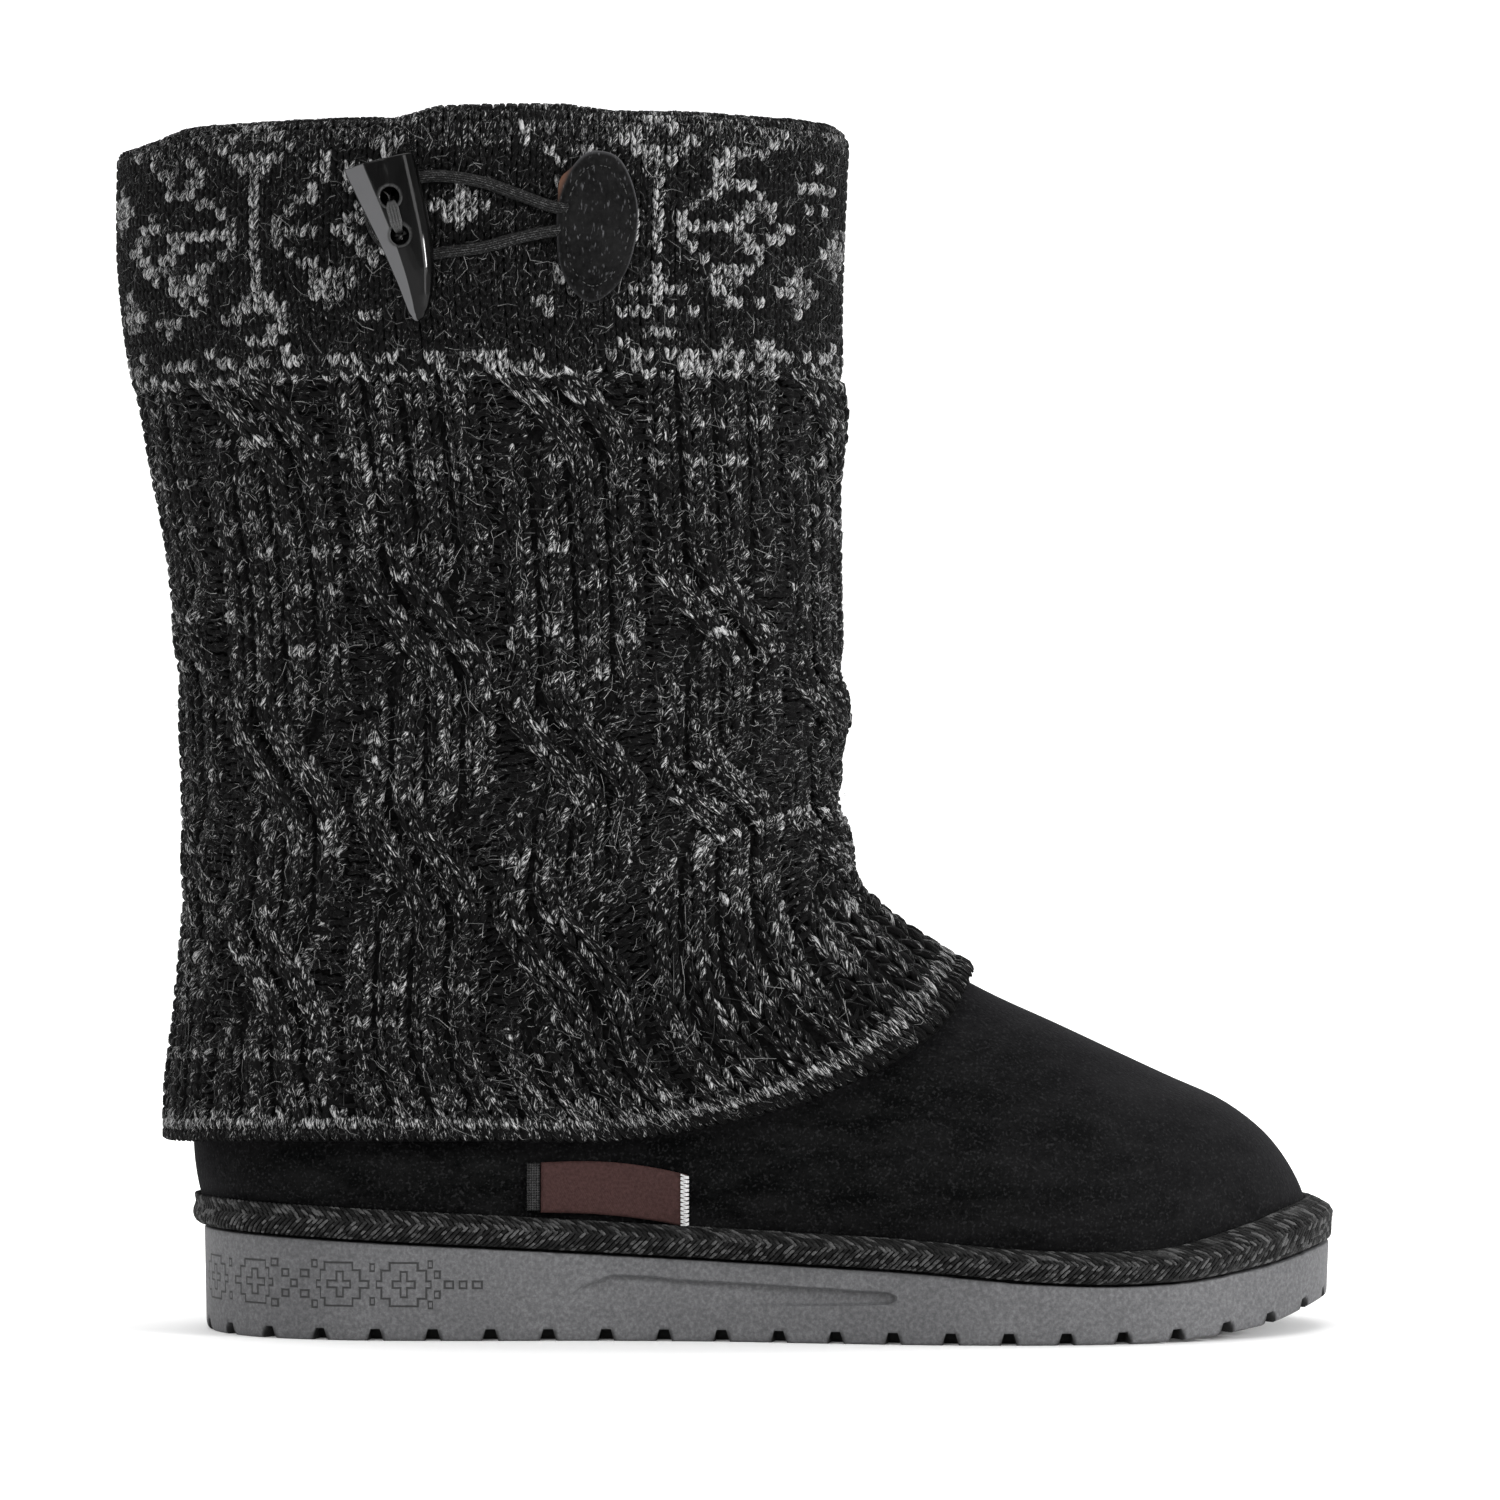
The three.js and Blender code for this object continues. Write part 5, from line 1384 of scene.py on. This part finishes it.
def patchPlace(turn, share, stand):
    c = closure
    share = share * (1 + 0.012 * np.sin(3 * turn + 0.6) + 0.008 * np.sin(7 * turn))
    u = np.cos(turn) * share * c["patchWidth"] / 2
    v = np.sin(turn) * share * c["patchHeight"] / 2
    x = c["patchCentre"][0] + u * math.cos(c["patchLean"]) + v * math.sin(c["patchLean"])
    z = c["patchCentre"][1] - u * math.sin(c["patchLean"]) + v * math.cos(c["patchLean"])
    # the patch rises over the cord's ends
    over = np.exp(-((u + 7.5) / 3.4) ** 2 - ((v + 1.2) / 5.0) ** 2)
    return onCuff(x, z, stand + boot["clearance"] + 1.3 * over * np.where(stand > 0, 1, 0.2))


def patchLift(turn, share):
    c = closure
    dome = c["patchEdge"] + (c["patchDome"] - c["patchEdge"]) * (1 - share ** 2)
    sewn = np.exp(-((share - c["stitchInset"]) / 0.03) ** 2)
    return dome - 0.35 * sewn + 0.12 * np.sin(turn * 5 + share * 9) * share


def makePatch(look, threadLook):
    c, sides = closure, closure["patchSides"]
    turn, rounds = ringTurns(sides), np.array(c["patchRings"])
    bare = np.exp(-((turn - c["sliverTurn"]) / 0.2) ** 2)
    rings = [patchPlace(turn, rounds[0] + c["sliver"] * bare, 0 * turn)]
    for share in rounds[1:]:
        reach = share + (c["sliver"] * bare if share == 1 else 0 * turn)
        rings.append(patchPlace(turn, reach, patchLift(turn, share)))
    last = (len(rings) - 1) * sides
    piece = makePiece("patch_suede", np.concatenate(rings),
                      [gridFaces(len(rings), sides), last + np.arange(sides)[None]], ["patch"], look)
    # the raw cut edge is lighter suede; it is brighter still towards the upper right, which is painted light
    paintedLitSide = 0.25 + 0.75 * smooth(np.cos(turn - 0.9), -0.1, 0.5)
    edge = np.array([1, 1, 0.35] + [0] * (len(rounds) - 3))
    setValues(piece, "rim", edge[:, None] * paintedLitSide)
    setValues(piece, "bare", np.where(rounds > 0.99, 1.0, 0.0)[:, None] * bare)
    count = c["stitches"]
    middle = (np.arange(count) + 0.5 + rng.normal(0, 0.12, count)) / count * 2 * math.pi
    middle = middle[rng.random(count) < 0.7]
    count = len(middle)
    w = np.linspace(-0.5, 0.5, 5)[None]
    turns = middle[:, None] + w * rng.uniform(0.3, 0.75, (count, 1)) * 2 * math.pi / c["stitches"]
    arch = np.sqrt(np.clip(1 - (1.9 * w) ** 2, 0.02, 1))
    stand = patchLift(turns, c["stitchInset"]) - 0.1 + 0.3 * arch
    centre = patchPlace(turns, c["stitchInset"], stand)
    forward = np.broadcast_to((0.0, -1.0, 0.0), centre.shape)
    size = c["stitchRadius"] * (0.6 + 0.4 * arch)
    part = strands(centre, forward, size, size, plainSection, rng.uniform(0.2, 0.7, count))
    strandPiece("patch_stitches", [part], threadLook)


def closureLooks():
    horn = Look("polished horn")
    place = horn.objectPlace()
    cloud = horn.noise(horn.stretch(place, 160, 160, 30), 1.0, 4, 0.6)
    tone = horn.ramp(cloud, (0.35, 0.001), (0.75, 0.004))
    # painted reflection: the flat facet is coloured light grey, standing in for the light it reflects
    for name, share, shade in (("facet", 0.9, (0.085, 0.085, 0.088, 1)), ("rim", 0.7, grey(0.055))):
        tone = horn.mix(horn.times(horn.value(name), share, clamp=True), tone, shade)
    scratch = horn.noise(horn.stretch(place, 2600, 900, 260), 1.0, 2, 0.5)
    rough = horn.ramp(scratch, (0.4, 0.06), (0.75, 0.2))
    hornLook = horn.finish(Base_Color=tone, Roughness=rough, Specular_IOR_Level=0.1, Coat_Weight=0.06,
                           Coat_Roughness=0.05, Normal=horn.bump(cloud, 0.00006, 0.5))
    thread = Look("waxed thread")
    twist = thread.noise(thread.stretch(thread.uvPlace("strand"), 1.2, 3.2), 1.6, 3, 0.6)
    tone = thread.ramp(twist, (0.38, 0.008), (0.66, 0.07))
    threadLook = thread.finish(Base_Color=tone, Roughness=0.6, Normal=thread.bump(twist, 0.0003))
    cord = Look("elastic cord")
    around, along = cord.split(cord.uvPlace("strand"))[:2]
    lines = cord.math("SINE", cord.times(around, 2.4))
    right, left = (cord.math("SINE", cord.scaled(along, 9.5, cord.times(around, slant)))
                   for slant in (1.25, -1.25))
    weave = cord.math("MAXIMUM", right, left)
    speck = cord.noise(cord.objectPlace(), 1600, 2)
    level = cord.plus(cord.times(weave, 0.14), cord.plus(speck, cord.times(lines, 0.12)))
    tone = cord.ramp(level, (0.35, 0.004), (0.68, 0.014), (0.84, 0.075))
    cordLook = cord.finish(Base_Color=tone, Roughness=0.42, Specular_IOR_Level=0.09,
                           Normal=cord.bump(cord.plus(weave, lines), 0.00012, 0.8))
    return hornLook, threadLook, cordLook


def patchLook():
    look = Look("patch suede")
    place = look.objectPlace()
    nap = look.noise(place, 700, 4, 0.65)
    rub = look.noise(place, 90, 4, 0.6)
    lint = look.noise(look.stretch(place, 1500, 1500, 500), 1.0, 2, 0.5)
    tone = look.ramp(look.weigh(nap, 0.5, rub, 0.5), (0.36, 0.002), (0.66, 0.009))
    fleck = look.ramp(lint, (0.62, 0.0), (0.74, 1.0))
    tone = look.mix(look.times(fleck, 0.55), tone, (0.09, 0.09, 0.095, 1))
    # the rim's tone is the lighter cut edge plus painted light on its upper right
    tone = look.mix(look.times(look.value("rim"), 0.65), tone, (0.11, 0.11, 0.115, 1))
    tone = look.mix(look.times(look.value("bare"), 0.9, clamp=True), tone, (0.16, 0.078, 0.05, 1))
    return look.finish(Base_Color=tone, Roughness=0.92, Specular_IOR_Level=0.04, Sheen_Weight=0.03,
                       Sheen_Roughness=0.5, Sheen_Tint=(0.5, 0.5, 0.55, 1),
                       Normal=look.bump(nap, 0.0005, 0.8))


hornLook, threadLook, cordLook = closureLooks()
makeToggle(hornLook)
makeThread(threadLook)
makeCord(cordLook)
makePatch(patchLook(), threadLook)
print("closure made")


# Trim at the side seam: a woven tape and a blank ribbon label

trim = {
    "seamX": 46.5, "seamLow": 30.5, "seamHigh": 41.5, "tapeWidth": 3, "tapeThickness": 0.7,
    "labelWidth": 34.5, "labelHeight": 11.5, "labelThickness": 0.8, "labelDroop": 0.09, "arch": 2.2,
    "overlock": 24, "overlockWide": 1.5,
}


def onSuede(x, z, stand):
    t, row = outerSide(np.asarray(x, float), np.asarray(z, float))
    return upperPoint(t, row) + upperNormal(t, row) * np.asarray(stand, float)[..., None]


def flatPiece(name, columns, rows, place, stand, thickness, nodes, look):
    # a thin sheet on the suede, closed all round; stand gives how far off each place lies
    u, v = np.meshgrid(np.linspace(0, 1, columns), np.linspace(0, 1, rows))
    x, z = place(u, v)
    fromEdge = np.minimum(np.minimum(u, 1 - u) * columns, np.minimum(v, 1 - v) * rows)
    plump = 1 - np.clip(1 - fromEdge / 1.5, 0, 1) ** 2 * 0.35
    sheets = [onSuede(x, z, stand(u, v) + thickness * part) for part in (plump, 1 - plump)]
    size = columns * rows
    one = gridFaces(rows, columns, closed=False)
    edge = np.concatenate([np.arange(columns), np.arange(1, rows) * columns + columns - 1,
                           size - 2 - np.arange(columns - 1), np.arange(rows - 2, 0, -1) * columns])
    after = np.roll(edge, -1)
    wall = np.stack([edge, after, after + size, edge + size], 1)[:, ::-1]
    piece = makePiece(name, np.array(sheets), [one, one[:, ::-1] + size, wall], nodes, look)
    setUv(piece, "cloth", np.tile(np.stack([x.ravel(), z.ravel()], 1), (2, 1)))


def tapePlace(u, v):
    return trim["seamX"] - trim["tapeWidth"] * (1 - u), lerp(trim["seamLow"], trim["seamHigh"], v)


def tapeStand(u, v):
    return boot["clearance"] + 0 * u


def labelPlace(u, v):
    b = trim
    droop = u * b["labelWidth"] * math.tan(b["labelDroop"])
    bottom = b["seamLow"] - 0.4 - droop + b["arch"] * 0.4 * np.sin(u * math.pi)
    height = b["labelHeight"] + b["arch"] * 0.35 * np.sin(u * math.pi * 0.8)
    return b["seamX"] + boot["clearance"] + u * b["labelWidth"], bottom + v * height


def labelStand(u, v):
    wave = 0.25 * np.sin(u * 9) * np.sin(v * 3)
    return boot["clearance"] + 0.2 + wave + 0.5 * smooth(u, 0.8, 1.0)


def makeTrim(tapeLook, ribbonLook, whiteLook):
    b = trim
    flatPiece("seam_tape_weave", 8, 26, tapePlace, tapeStand, b["tapeThickness"],
              ["seam_tape"], tapeLook)
    flatPiece("label_ribbon", 72, 26, labelPlace, labelStand, b["labelThickness"],
              ["label"], ribbonLook)
    # the overlocked end: threads side by side that lean both ways in turn
    count = b["overlock"]
    order = np.arange(count)[:, None]
    w = np.linspace(0, 1, 7)[None]
    u = np.minimum(1 - b["overlockWide"] / b["labelWidth"] * (1 - w) + 0.0 * order, 1)
    v = (order + 0.5) / count * 0.97 + 0.015 + 0.022 * (w - 0.5) * (1 - order % 2 * 2)
    x, z = labelPlace(u, v)
    x = x + 0.35 * smooth(w, 0.7, 1)
    height = labelStand(u, v) + b["labelThickness"] + 0.1 - 0.9 * smooth(w, 0.86, 1)
    centre = onSuede(x, z, height)
    normal = centre - onSuede(x, z, height - 1)
    part = strands(centre, normal, 0.24, 0.22, plainSection, rng.uniform(0.3, 1, count))
    strandPiece("label_overlock", [part], whiteLook)


def trimLooks():
    tape = Look("seam tape")
    across, up = tape.split(tape.uvPlace("cloth"))[:2]
    right, left = (tape.math("SINE", tape.times(tape.scaled(across, 1.0, tape.times(up, slant)), 5.5))
                   for slant in (1.0, -1.0))
    weave = tape.times(right, left)
    grain = tape.noise(tape.objectPlace(), 1300, 2)
    tone = tape.ramp(tape.plus(tape.times(weave, 0.3), grain), (0.3, 0.012), (0.75, 0.055))
    tapeLook = tape.finish(Base_Color=tone, Roughness=0.85, Specular_IOR_Level=0.1,
                           Normal=tape.bump(weave, 0.0003))
    ribbon = Look("satin ribbon")
    across, up = ribbon.split(ribbon.uvPlace("cloth"))[:2]
    weave = ribbon.times(ribbon.math("SINE", ribbon.times(up, 21.0)),
                         ribbon.math("SINE", ribbon.times(across, 15.0)))
    grain = ribbon.noise(ribbon.objectPlace(), 1500, 2)
    level = ribbon.plus(ribbon.times(weave, 0.22), grain)
    tone = ribbon.ramp(level, (0.25, (0.026, 0.011, 0.01)), (0.8, (0.064, 0.03, 0.0275)))
    ribbonLook = ribbon.finish(Base_Color=tone, Roughness=0.5, Specular_IOR_Level=0.14,
                               Normal=ribbon.bump(weave, 0.00012, 0.7))
    white = Look("white thread")
    twist = white.noise(white.stretch(white.uvPlace("strand"), 2, 9), 1.5, 2)
    tone = white.ramp(twist, (0.3, 0.36), (0.7, 0.68))
    whiteLook = white.finish(Base_Color=tone, Roughness=0.6, Normal=white.bump(twist, 0.0002))
    return tapeLook, ribbonLook, whiteLook


makeTrim(*trimLooks())
print("trim made")


# Camera, floor and light

studio = {
    "cameraPlace": (0.0958, -1.5, 0.1383), "lens": 150, "sensor": 36, "clip": (0.05, 40),
    "worldLight": 0.45, "floorTone": 0.9, "floorGlow": 0.6, "nearGlow": 0.05, "glowSpan": (0.06, 0.15),
    # metres: half the floor's width, where it starts to sweep up, and the sweep's radius
    "floorHalf": 9, "sweepStart": 2.5, "sweepRadius": 2, "floorDrop": 0.00005,
    "lights": [
        # name, place, what it looks at, width, height, power
        ("front softbox", (-0.35, -1.7, 1.15), (0.08, 0, 0.14), 1.1, 0.8, 15),
        ("right strip", (1.25, -0.85, 0.45), (0.08, 0, 0.18), 0.3, 1.1, 7),
        ("left panel", (-1.35, 0.05, 0.35), (0.05, 0, 0.2), 0.9, 1.0, 7),
        ("toggle glint", (1.11, -0.54, 0.37), (0.02, -0.05, 0.26), 0.1, 0.18, 9),
        ("top softbox", (0.1, 0.15, 1.7), (0.1, 0, 0.1), 1.3, 1.0, 11),
    ],
}


def makeCamera():
    data = bpy.data.cameras.new("front camera")
    data.lens = studio["lens"]
    data.sensor_width = data.sensor_height = studio["sensor"]
    data.clip_start, data.clip_end = studio["clip"]
    camera = bpy.data.objects.new("front camera", data)
    camera.location = studio["cameraPlace"]
    camera.rotation_euler = (math.pi / 2, 0, 0)
    bpy.context.collection.objects.link(camera)
    bpy.context.scene.camera = camera


def makeFloor():
    # a pale floor that sweeps up softly far behind the boot
    s, half, start, radius = studio, studio["floorHalf"], studio["sweepStart"], studio["sweepRadius"]
    across = np.linspace(-half, half, 25)
    bend = [(-half, 0), (-half / 3, 0), (0, 0), (start, 0)]
    bend += [(start + radius * math.sin(turn), radius - radius * math.cos(turn))
             for turn in np.linspace(0, math.pi / 2, 17)[1:]]
    bend += [(start + radius, 2 * radius), (start + radius, 4 * radius)]
    points = [(x, y, z - s["floorDrop"]) for y, z in bend for x in across]
    mesh = bpy.data.meshes.new("studio_floor")
    mesh.from_pydata(points, [], gridFaces(len(bend), len(across), closed=False).tolist())
    mesh.polygons.foreach_set("use_smooth", [True] * len(mesh.polygons))
    floor = bpy.data.objects.new("studio_floor", mesh)
    bpy.context.collection.objects.link(floor)
    look = Look("pale floor")
    place, tone = look.objectPlace(), s["floorTone"]
    shade = look.ramp(look.noise(place, 8, 2), (0.2, tone * 0.99), (0.8, tone))
    # the floor glows less close to the sole, which leaves a soft shadow there
    away = look.vector("MULTIPLY_ADD", i0=place, i1=(0.5, 1, 0), i2=(-0.049, 0, 0))
    near, far = s["glowSpan"]
    glow = look.ramp(look.vector("LENGTH", 1, i0=away), (near, s["nearGlow"]), (far, s["floorGlow"]))
    mesh.materials.append(look.finish(Base_Color=shade, Roughness=0.9, Specular_IOR_Level=0.1,
                                      Emission_Color=glow, Emission_Strength=1.0))


def makeLights():
    world = bpy.data.worlds.new("studio")
    bpy.context.scene.world = world
    world.use_nodes = True
    ground = world.node_tree.nodes["Background"]
    ground.inputs[0].default_value = (1, 1, 1, 1)
    ground.inputs[1].default_value = studio["worldLight"]
    for name, place, goal, wide, high, power in studio["lights"]:
        data = bpy.data.lights.new(name, "AREA")
        data.shape, data.size, data.size_y, data.energy = "RECTANGLE", wide, high, power
        light = bpy.data.objects.new(name, data)
        light.location = place
        light.rotation_euler = (Vector(goal) - Vector(place)).to_track_quat("-Z", "Y").to_euler()
        bpy.context.collection.objects.link(light)


makeCamera()
makeFloor()
makeLights()
bpy.context.scene.view_settings.view_transform = "Standard"
print("studio made")
